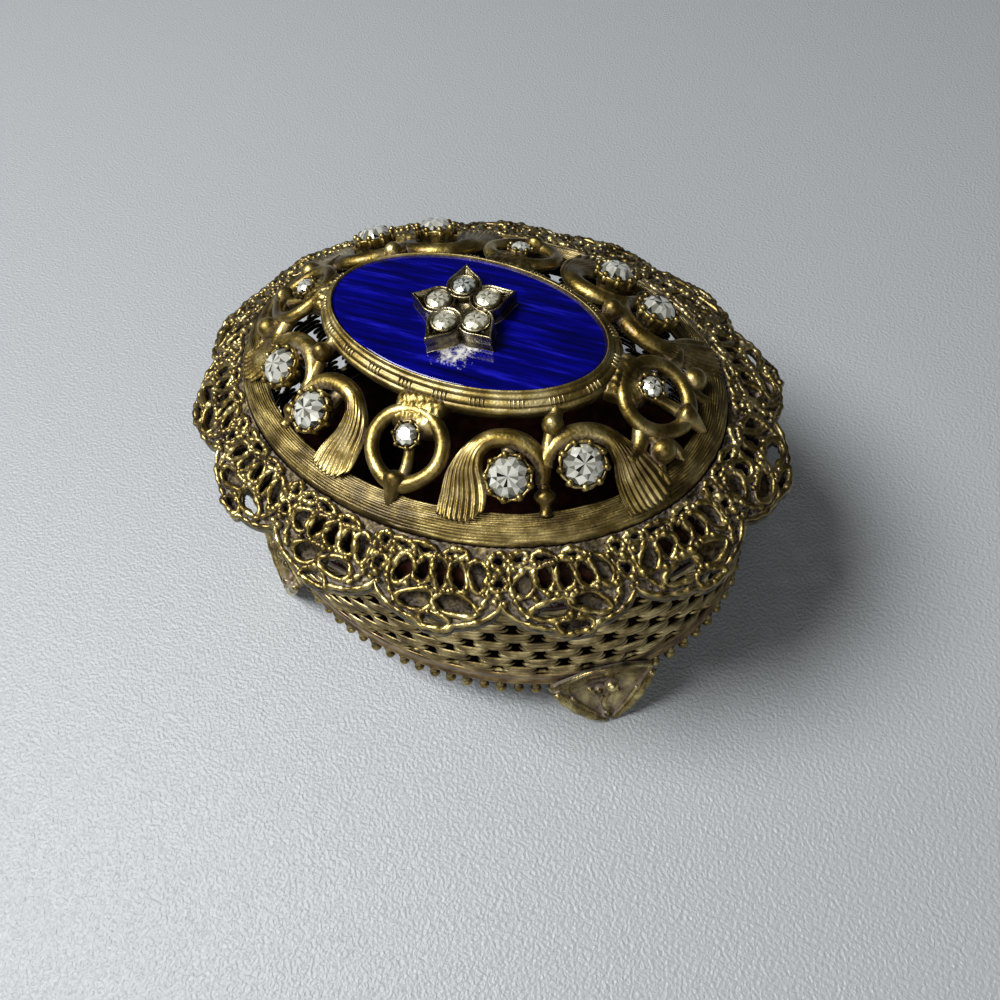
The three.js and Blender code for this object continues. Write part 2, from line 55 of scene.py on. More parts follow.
wallLow, wallHigh = frameBox("basket_wall")
bezelLow, bezelHigh = frameBox("bezel")
plaqueLow, plaqueHigh = frameBox("enamel_plaque")
bandTop = frameBox("bead_rim")[1][2]
starHead = frameBox("star")[1][2]

wallRadius, wallFoot, wallTop = wallHigh[0], wallLow[2], wallHigh[2]
bezelRadius = bezelHigh[0]
plaqueRadius, plaqueTop = plaqueHigh[0], plaqueHigh[2]
ovalDifference = wallHigh[0] - wallHigh[1]
footAngle = 46.0  # degrees of the oval's parameter, not of the compass
quarters = {"front_right": (1, -1), "front_left": (-1, -1), "back_left": (-1, 1), "back_right": (1, 1)}


def ovalPoint(radius, t):
    return np.array([radius * math.cos(t), (radius - ovalDifference) * math.sin(t)])


def ovalOut(radius, t):
    out = np.array([(radius - ovalDifference) * math.cos(t), radius * math.sin(t)])
    return out / np.linalg.norm(out)


# The half length of the oval that runs through a point, found by halving the span
def ovalThrough(x, y):
    low, high = ovalDifference + 0.01, 80.0
    for _ in range(40):
        middle = (low + high) / 2
        if (x / middle) ** 2 + (y / (middle - ovalDifference)) ** 2 > 1:
            low = middle
        else:
            high = middle
    return (low + high) / 2


# Parameters of points that stand the same length apart round an oval
def evenAngles(radius, count, start=0.0):
    fine = 7200
    t = start + (np.arange(fine) + 0.5) * 2 * math.pi / fine
    pace = np.hypot(radius * np.sin(t), (radius - ovalDifference) * np.cos(t))
    length = np.concatenate([[0], np.cumsum(pace)])
    wanted = np.arange(count) * length[-1] / count
    return start + np.interp(wanted, length, np.arange(fine + 1)) * 2 * math.pi / fine


def ovalLength(radius):
    t = (np.arange(2000) + 0.5) * 2 * math.pi / 2000
    return float(np.mean(np.hypot(radius * np.sin(t), (radius - ovalDifference) * np.cos(t))) * 2 * math.pi)


# Mesh helpers

def addObject(name, data):
    made = bpy.data.objects.new(name, data)
    bpy.context.collection.objects.link(made)
    return made


def addValues(mesh, name, domain, values):
    mesh.attributes.new(name, "FLOAT", domain).data.foreach_set("value", values)


# Gathers closed blocks of points and faces, each turned to face outwards, into one mesh
class Shape:
    def __init__(self):
        self.points = []
        self.faces = []
        self.count = 0

    def add(self, points, faces):
        points = np.asarray(points, float)
        faces = [tuple(int(i) for i in face) for face in faces]
        if signedVolume(points, faces) < 0:
            faces = [face[::-1] for face in faces]
        self.points.append(points)
        self.faces += [tuple(i + self.count for i in face) for face in faces]
        self.count += len(points)

    def make(self, name, material, smooth=True):
        mesh = bpy.data.meshes.new(name)
        mesh.from_pydata((np.concatenate(self.points) * mm).tolist(), [], self.faces)
        mesh.materials.append(material)
        mesh.polygons.foreach_set("use_smooth", [smooth] * len(mesh.polygons))
        mesh.update()
        return addObject(name, mesh)


def signedVolume(points, faces):
    total = 0.0
    byCount = {}
    for face in faces:
        byCount.setdefault(len(face), []).append(face)
    for count, group in byCount.items():
        index = np.array(group)
        for k in range(1, count - 1):
            a, b, c = points[index[:, 0]], points[index[:, k]], points[index[:, k + 1]]
            total += float(np.einsum("ij,ij->i", a, np.cross(b, c)).sum())
    return total


def gridFaces(rows, columns, wrapRows=False, wrapColumns=False, offset=0):
    i = np.arange(rows if wrapRows else rows - 1)
    j = np.arange(columns if wrapColumns else columns - 1)
    i, j = np.meshgrid(i, j, indexing="ij")
    i, j = i.ravel(), j.ravel()
    at = lambda a, b: offset + (a % rows) * columns + (b % columns)
    return np.stack([at(i, j), at(i, j + 1), at(i + 1, j + 1), at(i + 1, j)], 1)


# A run of sections joined side to side, with a cap over its first and its last
def cappedFaces(count, sides):
    faces = list(gridFaces(count, sides, False, True))
    faces.append(tuple(range(sides))[::-1])
    faces.append(tuple((count - 1) * sides + s for s in range(sides)))
    return faces


# Two grids of the same size, front and back, joined round their border
def slab(shape, front, back, rows, columns):
    total = rows * columns
    faces = [tuple(f) for f in gridFaces(rows, columns)]
    faces += [tuple(f[::-1]) for f in gridFaces(rows, columns, offset=total)]
    border = [(i, 0) for i in range(rows)] + [(rows - 1, j) for j in range(1, columns)]
    border += [(i, columns - 1) for i in range(rows - 2, -1, -1)] + [(0, j) for j in range(columns - 2, 0, -1)]
    loop = [i * columns + j for i, j in border]
    faces += [(a, b, b + total, a + total) for a, b in zip(loop, loop[1:] + loop[:1])]
    shape.add(front + back, faces)


def ovalSweep(shape, profile, steps):
    points = []
    for k in range(steps):
        t = 2 * math.pi * k / steps
        for radius, height in profile:
            x, y = ovalPoint(radius, t)
            points.append((x, y, height))
    shape.add(points, gridFaces(steps, len(profile), True, True))


def tube(shape, course, radii, sides=10, closed=False, flat=1.0, up=(0, 0, 1)):
    course = np.asarray(course, float)
    count = len(course)
    radii = np.broadcast_to(np.asarray(radii, float), (count,))
    points = []
    for k in range(count):
        before = course[k - 1] if closed or k > 0 else course[k]
        after = course[(k + 1) % count] if closed or k < count - 1 else course[k]
        along = (after - before) / np.linalg.norm(after - before)
        side = np.cross(along, up)
        side /= np.linalg.norm(side)
        top = np.cross(side, along)
        for s in range(sides):
            a = 2 * math.pi * s / sides
            points.append(course[k] + radii[k] * (math.cos(a) * side + flat * math.sin(a) * top))
    shape.add(points, gridFaces(count, sides, True, True) if closed else cappedFaces(count, sides))


def moved(points, place):
    return np.asarray(points) @ np.array(place.to_3x3()).T + np.array(place.translation)


def turned(shape, profile, sides, place, wobble=None):
    points = []
    for k in range(sides):
        a = 2 * math.pi * k / sides
        for n, (radius, height) in enumerate(profile):
            r = radius + (wobble(n, a) if wobble and radius > 0 else 0.0)
            points.append((r * math.cos(a), r * math.sin(a), height))
    columns = len(profile)
    faces = [tuple(f) for f in gridFaces(sides, columns, True, False)]
    if profile[0][0] > 0:
        faces.append(tuple(k * columns for k in range(sides)))
    if profile[-1][0] > 0:
        faces.append(tuple(k * columns + columns - 1 for k in range(sides))[::-1])
    points, faces = weld(np.array(points), faces)
    shape.add(moved(points, place), faces)


def weld(points, faces):
    keys = {}
    remap = []
    kept = []
    for point in points:
        key = tuple(np.round(point, 5))
        if key not in keys:
            keys[key] = len(kept)
            kept.append(point)
        remap.append(keys[key])
    merged = []
    for face in faces:
        loop = [remap[i] for i in face]
        loop = [v for k, v in enumerate(loop) if v != loop[k - 1]]
        if len(set(loop)) >= 3:
            merged.append(tuple(loop))
    return np.array(kept), merged


def ball(shape, centre, radius, rings=6, segments=10, squash=1.0):
    profile = [(radius * math.sin(math.pi * k / rings), -squash * radius * math.cos(math.pi * k / rings))
               for k in range(rings + 1)]
    profile[0] = (0.0, profile[0][1])
    profile[-1] = (0.0, profile[-1][1])
    turned(shape, profile, segments, Matrix.Translation(Vector(centre)))


# A smooth line through the given points
def smoothCourse(points, steps):
    points = [np.asarray(p, float) for p in points]
    ends = [2 * points[0] - points[1]] + points + [2 * points[-1] - points[-2]]
    course = []
    spans = len(points) - 1
    for k in range(steps + 1):
        x = k * spans / steps
        i = min(int(x), spans - 1)
        f = x - i
        a, b, c, d = ends[i], ends[i + 1], ends[i + 2], ends[i + 3]
        course.append(0.5 * (2 * b + (c - a) * f + (2 * a - 5 * b + 4 * c - d) * f ** 2
                             + (3 * b - a - 3 * c + d) * f ** 3))
    return np.array(course)


# Materials

def linear(hexColour):
    values = [int(hexColour[i:i + 2], 16) / 255 for i in (1, 3, 5)]
    return [v / 12.92 if v <= 0.04045 else ((v + 0.055) / 1.055) ** 2.4 for v in values] + [1.0]


def setStops(elements, stops):
    while len(elements) > len(stops):
        elements.remove(elements[-1])
    while len(elements) < len(stops):
        elements.new(1.0)
    for element, (place, colour) in zip(elements, stops):
        element.position = place
        element.color = linear(colour) if isinstance(colour, str) else [colour] * 3 + [1.0]


# Settings are the node's own or its inputs' constants. A link comes from a socket, or from a
# node's first output
def addNode(tree, kind, settings=None, links=None):
    node = tree.nodes.new(kind)
    for key, value in (settings or {}).items():
        if key == "stops":
            setStops(node.color_ramp.elements, value)
        elif isinstance(key, int) or key in node.inputs:
            node.inputs[key].default_value = value
        else:
            setattr(node, key, value)
    for key, source in (links or {}).items():
        socket = source if isinstance(source, bpy.types.NodeSocket) else source.outputs[0]
        tree.links.new(socket, node.inputs[key])
    return node


def newMaterial(name):
    material = bpy.data.materials.new(name)
    material.use_nodes = True
    material.node_tree.nodes.clear()
    return material, material.node_tree


def perMm(size):
    return 1.0 / (size * mm)


mixA, mixB, mixed = 6, 7, 2  # the colour sockets of a mix node


# One on faces that look in to the box's middle, nought on those that look out: the mask for the shade painted
# on the inside
def facingIn(tree, place):
    normal = addNode(tree, "ShaderNodeNewGeometry").outputs["Normal"]
    level = addNode(tree, "ShaderNodeVectorMath", {"operation": "MULTIPLY", 1: (1, 1, 0)}, {0: place})
    out = addNode(tree, "ShaderNodeVectorMath", {"operation": "DOT_PRODUCT"}, {0: normal, 1: level})
    return addNode(tree, "ShaderNodeMapRange", {"From Min": 0.008, "From Max": -0.004},
                   {"Value": out.outputs["Value"]})


# Shared by every gilt finish: where a cloud of wear turns from tarnish to gold and to bright, how
# shut in a recess is before it is painted dark as tarnish and shade, and how far dust hides the metal and its
# shine
gilt = {"tarnishBelow": 0.36, "goldAt": 0.5, "brightAbove": 0.66, "deepest": 0.25, "open": 0.8,
        "dustCover": 0.85, "unevenShine": 0.3, "dustRoughness": 0.45, "bumpHeight": 0.12,
        "lacquerRoughness": 0.2}


# Cast brass under worn gilding: the plating is bright where hands rub it, and dust and old
# polish have dried pale in the recesses over a brown tarnish, and the recesses are painted darker as painted
# shade
def giltMaterial(name, look):
    material, tree = newMaterial(name)
    place = addNode(tree, "ShaderNodeTexCoord").outputs["Object"]
    cloud = addNode(tree, "ShaderNodeTexNoise", {"Scale": perMm(look["cloudSize"]), "Detail": 5.0},
                    {"Vector": place})
    speck = addNode(tree, "ShaderNodeTexNoise", {"Scale": perMm(look["speckSize"]), "Detail": 3.0},
                    {"Vector": place}).outputs["Fac"]
    hidden = addNode(tree, "ShaderNodeAmbientOcclusion", {"samples": 6, "Distance": look["recessReach"] * mm})
    wear = [(gilt["tarnishBelow"], look["tarnish"]), (gilt["goldAt"], look["gold"]),
            (gilt["brightAbove"], look["bright"])]
    worn = addNode(tree, "ShaderNodeValToRGB", {"stops": wear}, {"Fac": cloud.outputs["Fac"]})
    shade = addNode(tree, "ShaderNodeValToRGB", {"stops": [(gilt["deepest"], 1.0), (gilt["open"], 0.0)]},
                    {"Fac": hidden.outputs["AO"]})
    dusted = addNode(tree, "ShaderNodeMath",
                     {"operation": "MULTIPLY_ADD", 1: look["dirtPatch"], 2: look["dirtShift"]}, {0: speck})
    dirty = addNode(tree, "ShaderNodeMath", {"operation": "MULTIPLY", "use_clamp": True}, {0: shade, 1: dusted})
    # Dust is kept out of the lace's cups, so the painted shade and tarnish darken them
    if look.get("cupDust"):
        cup = addNode(tree, "ShaderNodeAttribute", {"attribute_name": "cup"}).outputs["Fac"]
        clean = addNode(tree, "ShaderNodeMath", {"operation": "MULTIPLY_ADD", 1: look["cupDust"] - 1, 2: 1.0},
                        {0: cup})
        dirty = addNode(tree, "ShaderNodeMath", {"operation": "MULTIPLY"}, {0: dirty, 1: clean})
    # Painted shade and tarnish: the more shut in a place is, the nearer its colour comes to the dark recess
    # colour
    dark = addNode(tree, "ShaderNodeMath",
                   {"operation": "MULTIPLY", 1: look["tarnishAndShadeDepth"], "use_clamp": True}, {0: shade})
    tarnishedAndShaded = addNode(tree, "ShaderNodeMix", {"data_type": "RGBA", mixB: linear(look["recess"])},
                        {"Factor": dark, mixA: worn}).outputs[mixed]
    colour = addNode(tree, "ShaderNodeMix", {"data_type": "RGBA", mixB: linear(look["dirt"])},
                     {"Factor": dirty, mixA: tarnishedAndShaded}).outputs[mixed]
    # Faces that look into the box are painted dark: painted shade inside the box
    if look.get("inside"):
        colour = addNode(tree, "ShaderNodeMix", {"data_type": "RGBA", mixB: linear(look["inside"])},
                         {"Factor": facingIn(tree, place), mixA: colour}).outputs[mixed]
    metal = addNode(tree, "ShaderNodeMath", {"operation": "MULTIPLY_ADD", 1: -gilt["dustCover"], 2: 1.0},
                    {0: dirty})
    lowest = look["roughness"] - gilt["unevenShine"] / 2
    rough = addNode(tree, "ShaderNodeMath",
                    {"operation": "MULTIPLY_ADD", 1: gilt["unevenShine"], 2: lowest}, {0: speck})
    rougher = addNode(tree, "ShaderNodeMath",
                      {"operation": "MULTIPLY_ADD", 1: gilt["dustRoughness"], "use_clamp": True},
                      {0: dirty, 2: rough})
    bump = addNode(tree, "ShaderNodeBump", {"Strength": look["bump"], "Distance": gilt["bumpHeight"] * mm},
                   {"Height": speck})
    shader = addNode(tree, "ShaderNodeBsdfPrincipled",
                     {"Coat Weight": look["lacquer"], "Coat Roughness": gilt["lacquerRoughness"]},
                     {"Base Color": colour, "Metallic": metal, "Roughness": rougher, "Normal": bump})
    addNode(tree, "ShaderNodeOutputMaterial", {}, {"Surface": shader})
    return material


# The plating as it is on the cups, rubbed to a dull gold, with its joints painted dark brown as tarnish and
# painted shade
brightLook = {"gold": "#7d6a32", "bright": "#b3a066", "tarnish": "#57461f", "recess": "#1d1508",
              "dirt": "#8f8272", "cloudSize": 3.0, "speckSize": 0.35, "recessReach": 1.0, "dirtPatch": 2.0,
              "dirtShift": -0.8, "tarnishAndShadeDepth": 0.9, "roughness": 0.4, "bump": 0.5, "lacquer": 0.3}
brightGilt = giltMaterial("wornGiltBrass", brightLook)

# Lace wires and bead drops, where dust lies deeper between the casts
antiqueLook = dict(brightLook, gold="#826f38", bright="#bba970", tarnish="#514220", dirt="#8d8175",
                   roughness=0.36, cloudSize=2.2, recessReach=1.3, dirtPatch=2.6, dirtShift=-0.8)
antiqueGilt = giltMaterial("antiquedGiltBrass", antiqueLook)

# The weave's bundles are a paler gilt, and their faces that look into the box are painted dark as shade
weaveLook = dict(antiqueLook, dirt="#a09284", gold="#8a7747", bright="#cdbb86", tarnish="#5a4b2c",
                 roughness=0.42, dirtPatch=1.8, inside="#160d08")
weaveGilt = giltMaterial("tarnishedGiltBrassShadedInside", weaveLook)

# The band is redder where the gilding is thin over the brass, and its faces that look into the box are painted
# dark as shade
bandGilt = giltMaterial("reddishGiltBrass", dict(
    antiqueLook, gold="#836b40", bright="#b09766", tarnish="#5d4325", roughness=0.42, inside="#160d08"))

# The inside pieces are painted a dark reddish brown, as the shade inside the box
darkLining = giltMaterial("insideShadeBrass", dict(
    weaveLook, lacquer=0.0, gold="#3d1f1a", bright="#58332b", tarnish="#26130f", dirt="#40302a", roughness=0.6))

# The feet are rubbed bright along their rims, with pale dust dried in the dish
footGilt = giltMaterial("dustyGiltBrass", dict(
    antiqueLook, gold="#9c8a52", bright="#d8c98c", recessReach=2.2, dirtPatch=3.0, dirtShift=-0.2,
    tarnishAndShadeDepth=0.4, dirt="#aea092", roughness=0.28))

# The ribbed ring is satin, with its grooves painted dark as tarnish and painted shade
ringGilt = giltMaterial("brushedGiltBrass", dict(
    brightLook, roughness=0.48, gold="#6f5e32", bright="#a08e58", tarnish="#4a3d1e", recessReach=0.45,
    tarnishAndShadeDepth=1.3, dirtPatch=1.0))

# The scrolls have brown dust in the flutes of their leaves and where wires meet
scrollGilt = giltMaterial("dustedGiltBrass", dict(
    brightLook, bright="#b8a56e", dirt="#a08d7a", recessReach=1.5, dirtPatch=2.6, dirtShift=-0.7,
    tarnishAndShadeDepth=0.7))

# The bezel's reeds are softly polished, so their lights run in broad lines
bezelGilt = giltMaterial("softGiltBrass", dict(brightLook, gold="#7c6b38", bright="#a3956a", roughness=0.47))

# The ticks stand proud of the bezel and are coloured the palest of all, with hardly any dust and dark in their
# joints
tickGilt = giltMaterial("palestGiltBrass", dict(
    brightLook, gold="#c4b27a", bright="#e4d8a6", tarnish="#93824f", recessReach=0.2, tarnishAndShadeDepth=0.2,
    dirtShift=-2.0))

# The lace's ground is tarnished brown under grey dust, but for the cups, which keep no dust and are painted
# dark as shade
webBrass = giltMaterial("dustyTarnishedBrassShadedCups", dict(
    antiqueLook, lacquer=0.1, gold="#4f442a", bright="#8a7a4e", tarnish="#2b2315", dirt="#9a8e86",
    roughness=0.5, cloudSize=1.4, recessReach=2.2, dirtPatch=3.4, dirtShift=-1.15, tarnishAndShadeDepth=1.2,
    cupDust=0.3))

# The star's plating is paler, near to silver, and mirrors more
starGilt = giltMaterial("silveryGiltBrass", dict(
    brightLook, gold="#978b66", bright="#d9d0ae", tarnish="#5a5036", recess="#1c140b", tarnishAndShadeDepth=0.85,
    recessReach=1.5, roughness=0.3, dirtPatch=1.2, dirtShift=-0.5))


enamelLook = {"ground": ["#01012c", "#020258", "#03037c"], "flash": "#2222b4", "cement": "#b9b6b0",
              "lineTurn": -3, "lineSize": 0.42, "streakSize": 0.8, "streakLength": 0.07,
              "cementPlace": (1.2, -4.2), "cementFrom": 1.5, "cementTo": 4.5, "cementGrain": 0.8}


# Vitreous enamel, fired clear over an engine-turned ground: the fine cut lines show through the
# blue, with a painted highlight of brighter blue where they bunch; the coat over them is smooth
# glass, and cement has dried white on it in front of the star
def enamelMaterial(look):
    material, tree = newMaterial("cobaltGuillocheEnamel")
    place = addNode(tree, "ShaderNodeTexCoord").outputs["Object"]
    aslant = addNode(tree, "ShaderNodeMapping", {"Rotation": (0, 0, math.radians(look["lineTurn"]))},
                     {"Vector": place})
    lines = addNode(tree, "ShaderNodeTexWave",  # the node multiplies its scale by 20
                    {"bands_direction": "Y", "Scale": perMm(look["lineSize"]) / 20, "Distortion": 1.0,
                     "Detail": 2.0, "Detail Scale": 0.4}, {"Vector": aslant}).outputs["Fac"]
    stretched = addNode(tree, "ShaderNodeMapping", {"Scale": (look["streakLength"], 1.0, 1.0)},
                        {"Vector": aslant})
    streak = addNode(tree, "ShaderNodeTexNoise",
                     {"Scale": perMm(look["streakSize"]), "Detail": 5.0, "Roughness": 0.7},
                     {"Vector": stretched}).outputs["Fac"]
    ground = addNode(tree, "ShaderNodeValToRGB", {"stops": list(zip((0.34, 0.5, 0.64), look["ground"]))},
                     {"Fac": streak})
    # Where the lines bunch, a brighter blue is painted on: a painted highlight
    bunched = addNode(tree, "ShaderNodeValToRGB", {"stops": [(0.52, 0.0), (0.72, 0.75)]}, {"Fac": streak})
    flash = addNode(tree, "ShaderNodeMath", {"operation": "MULTIPLY"}, {0: bunched, 1: lines})
    blue = addNode(tree, "ShaderNodeMix", {"data_type": "RGBA", mixB: linear(look["flash"])},
                   {"Factor": flash, mixA: ground}).outputs[mixed]
    spot = (look["cementPlace"][0] * mm, look["cementPlace"][1] * mm, plaqueTop * mm)
    nearStar = addNode(tree, "ShaderNodeVectorMath", {"operation": "DISTANCE", 1: spot}, {0: place})
    grain = addNode(tree, "ShaderNodeTexNoise",
                    {"Scale": perMm(look["cementGrain"]), "Detail": 6.0, "Roughness": 0.7}, {"Vector": place})
    around = addNode(tree, "ShaderNodeMapRange",
                     {"From Min": look["cementTo"] * mm, "From Max": look["cementFrom"] * mm, "To Max": 0.42},
                     {"Value": nearStar.outputs["Value"]})
    patch = addNode(tree, "ShaderNodeMath", {"operation": "ADD"}, {0: around, 1: grain.outputs["Fac"]})
    cement = addNode(tree, "ShaderNodeMapRange", {"From Min": 0.8, "From Max": 0.95}, {"Value": patch})
    colour = addNode(tree, "ShaderNodeMix", {"data_type": "RGBA", mixB: linear(look["cement"])},
                     {"Factor": cement, mixA: blue}).outputs[mixed]
    bump = addNode(tree, "ShaderNodeBump", {"Strength": 0.3, "Distance": 0.05 * mm}, {"Height": lines})
    metal = addNode(tree, "ShaderNodeMath", {"operation": "MULTIPLY_ADD", 1: -0.3, 2: 0.3}, {0: cement})
    shader = addNode(tree, "ShaderNodeBsdfPrincipled",
                     {"Roughness": 0.5, "Specular IOR Level": 0.0, "Coat Weight": 0.6, "Coat Roughness": 0.03},
                     {"Base Color": colour, "Metallic": metal, "Normal": bump})
    addNode(tree, "ShaderNodeOutputMaterial", {}, {"Surface": shader})
    return material


enamel = enamelMaterial(enamelLook)


# Foil-backed glass: each facet is painted its own brightness, read from the mesh, as a painted reflection of
# the light
def rhinestoneMaterial(name, low, middle, high, roughness):
    material, tree = newMaterial(name)
    facet = addNode(tree, "ShaderNodeAttribute", {"attribute_name": "facet"}).outputs["Fac"]
    colour = addNode(tree, "ShaderNodeValToRGB", {"stops": [(0.0, low), (0.4, middle), (0.8, high)]},
                     {"Fac": facet})
    shader = addNode(tree, "ShaderNodeBsdfPrincipled",
                     {"Metallic": 0.55, "Roughness": roughness, "Coat Weight": 1.0, "Coat Roughness": 0.02},
                     {"Base Color": colour})
    addNode(tree, "ShaderNodeOutputMaterial", {}, {"Surface": shader})
    return material


# Painted facet reflections in three sets: clear, dull, and darker for one star stone
clearStone = rhinestoneMaterial("foilBackedGlass", "#25231b", "#8d8c7c", "#f8f7ea", 0.12)
dullStone = rhinestoneMaterial("dulledFoilBackedGlass", "#59563f", "#98947a", "#dcd9c4", 0.3)
darkStone = rhinestoneMaterial("darkenedFoilBackedGlass", "#1a1a17", "#5a5e5c", "#c8cbc0", 0.2)


# Geometry nodes

def nodeTree(name, sockets):
    tree = bpy.data.node_groups.new(name, "GeometryNodeTree")
    tree.interface.new_socket("Geometry", in_out="INPUT", socket_type="NodeSocketGeometry")
    for label, kind in sockets.items():
        tree.interface.new_socket(label, in_out="INPUT", socket_type="NodeSocket" + kind)
    tree.interface.new_socket("Geometry", in_out="OUTPUT", socket_type="NodeSocketGeometry")
    return tree, addNode(tree, "NodeGroupInput").outputs


def finishTree(tree, instances, material):
    real = addNode(tree, "GeometryNodeRealizeInstances", {}, {"Geometry": instances})
    smooth = addNode(tree, "GeometryNodeSetShadeSmooth", {}, {"Geometry": real})
    coloured = addNode(tree, "GeometryNodeSetMaterial", {}, {"Geometry": smooth, "Material": material})
    addNode(tree, "NodeGroupOutput", {}, {0: coloured})


# Runs a tree once and keeps what it made as a plain mesh
def grow(name, tree, values, start=None):
    carrier = addObject(name + "Carrier", start if start else bpy.data.meshes.new(name + "Start"))
    modifier = carrier.modifiers.new(name, "NODES")
    modifier.node_group = tree
    for item in tree.interface.items_tree:
        if item.item_type == "SOCKET" and item.in_out == "INPUT" and item.name in values:
            modifier[item.identifier] = values[item.name]
    bpy.context.view_layer.update()
    evaluated = carrier.evaluated_get(bpy.context.evaluated_depsgraph_get())
    made = bpy.data.meshes.new_from_object(evaluated)
    made.name = name
    carrier.modifiers.remove(modifier)
    bpy.data.objects.remove(carrier)
    return addObject(name, made)


ovalSockets = {"Half length": "Float", "Half width": "Float", "Height": "Float"}


def ovalValues(radius, height):
    return {"Half length": radius * mm, "Half width": (radius - ovalDifference) * mm, "Height": height * mm}


# Points the same length apart round an oval, and the way the oval runs at each
def ovalPoints(tree, given, count):
    circle = addNode(tree, "GeometryNodeCurvePrimitiveCircle", {"Resolution": 512, "Radius": 1.0})
    place = addNode(tree, "GeometryNodeInputPosition")
    stretch = addNode(tree, "ShaderNodeCombineXYZ", {}, {"X": given["Half length"], "Y": given["Half width"]})
    wide = addNode(tree, "ShaderNodeVectorMath", {"operation": "MULTIPLY"}, {0: place, 1: stretch})
    lift = addNode(tree, "ShaderNodeCombineXYZ", {}, {"Z": given["Height"]})
    oval = addNode(tree, "GeometryNodeSetPosition", {}, {"Geometry": circle, "Position": wide, "Offset": lift})
    points = addNode(tree, "GeometryNodeCurveToPoints", {"mode": "COUNT"}, {"Curve": oval, "Count": count})
    parts = addNode(tree, "ShaderNodeSeparateXYZ", {}, {0: points.outputs["Tangent"]})
    turn = addNode(tree, "ShaderNodeMath", {"operation": "ARCTAN2"},
                   {0: parts.outputs["Y"], 1: parts.outputs["X"]})
    return points.outputs["Points"], turn


# Bead drops: a ball on a short neck, all along the band but for the feet
def beadDropTree():
    tree, given = nodeTree("beadDrops", {
        **ovalSockets, "Count": "Int", "Ball radius": "Float", "Neck share": "Float", "Neck length": "Float",
        "Foot place": "Vector", "Foot clearance": "Float", "Smallest": "Float", "Largest": "Float",
        "Seed": "Int", "Material": "Material"})
    points, _ = ovalPoints(tree, given, given["Count"])
    place = addNode(tree, "GeometryNodeInputPosition")
    corner = addNode(tree, "ShaderNodeVectorMath", {"operation": "ABSOLUTE"}, {0: place})
    gap = addNode(tree, "ShaderNodeVectorMath", {"operation": "DISTANCE"}, {0: corner, 1: given["Foot place"]})
    near = addNode(tree, "ShaderNodeMath", {"operation": "LESS_THAN"},
                   {0: gap.outputs["Value"], 1: given["Foot clearance"]})
    kept = addNode(tree, "GeometryNodeDeleteGeometry", {"domain": "POINT"},
                   {"Geometry": points, "Selection": near})
    bead = addNode(tree, "GeometryNodeMeshUVSphere", {"Segments": 14, "Rings": 9},
                   {"Radius": given["Ball radius"]})
    slim = addNode(tree, "ShaderNodeMath", {"operation": "MULTIPLY"},
                   {0: given["Ball radius"], 1: given["Neck share"]})
    neck = addNode(tree, "GeometryNodeMeshCylinder", {"Vertices": 10, "Side Segments": 1},
                   {"Radius": slim, "Depth": given["Neck length"]})
    half = addNode(tree, "ShaderNodeMath", {"operation": "MULTIPLY", 1: 0.5}, {0: given["Neck length"]})
    raised = addNode(tree, "ShaderNodeCombineXYZ", {}, {"Z": half})
    neckUp = addNode(tree, "GeometryNodeTransform", {}, {"Geometry": neck, "Translation": raised})
    whole = addNode(tree, "GeometryNodeJoinGeometry", {}, {0: bead})
    tree.links.new(neckUp.outputs[0], whole.inputs[0])
    size = addNode(tree, "FunctionNodeRandomValue", {"data_type": "FLOAT"},
                   {2: given["Smallest"], 3: given["Largest"], "Seed": given["Seed"]})
    drops = addNode(tree, "GeometryNodeInstanceOnPoints", {},
                    {"Points": kept, "Instance": whole, "Scale": size.outputs[1]})
    finishTree(tree, drops, given["Material"])
    return tree


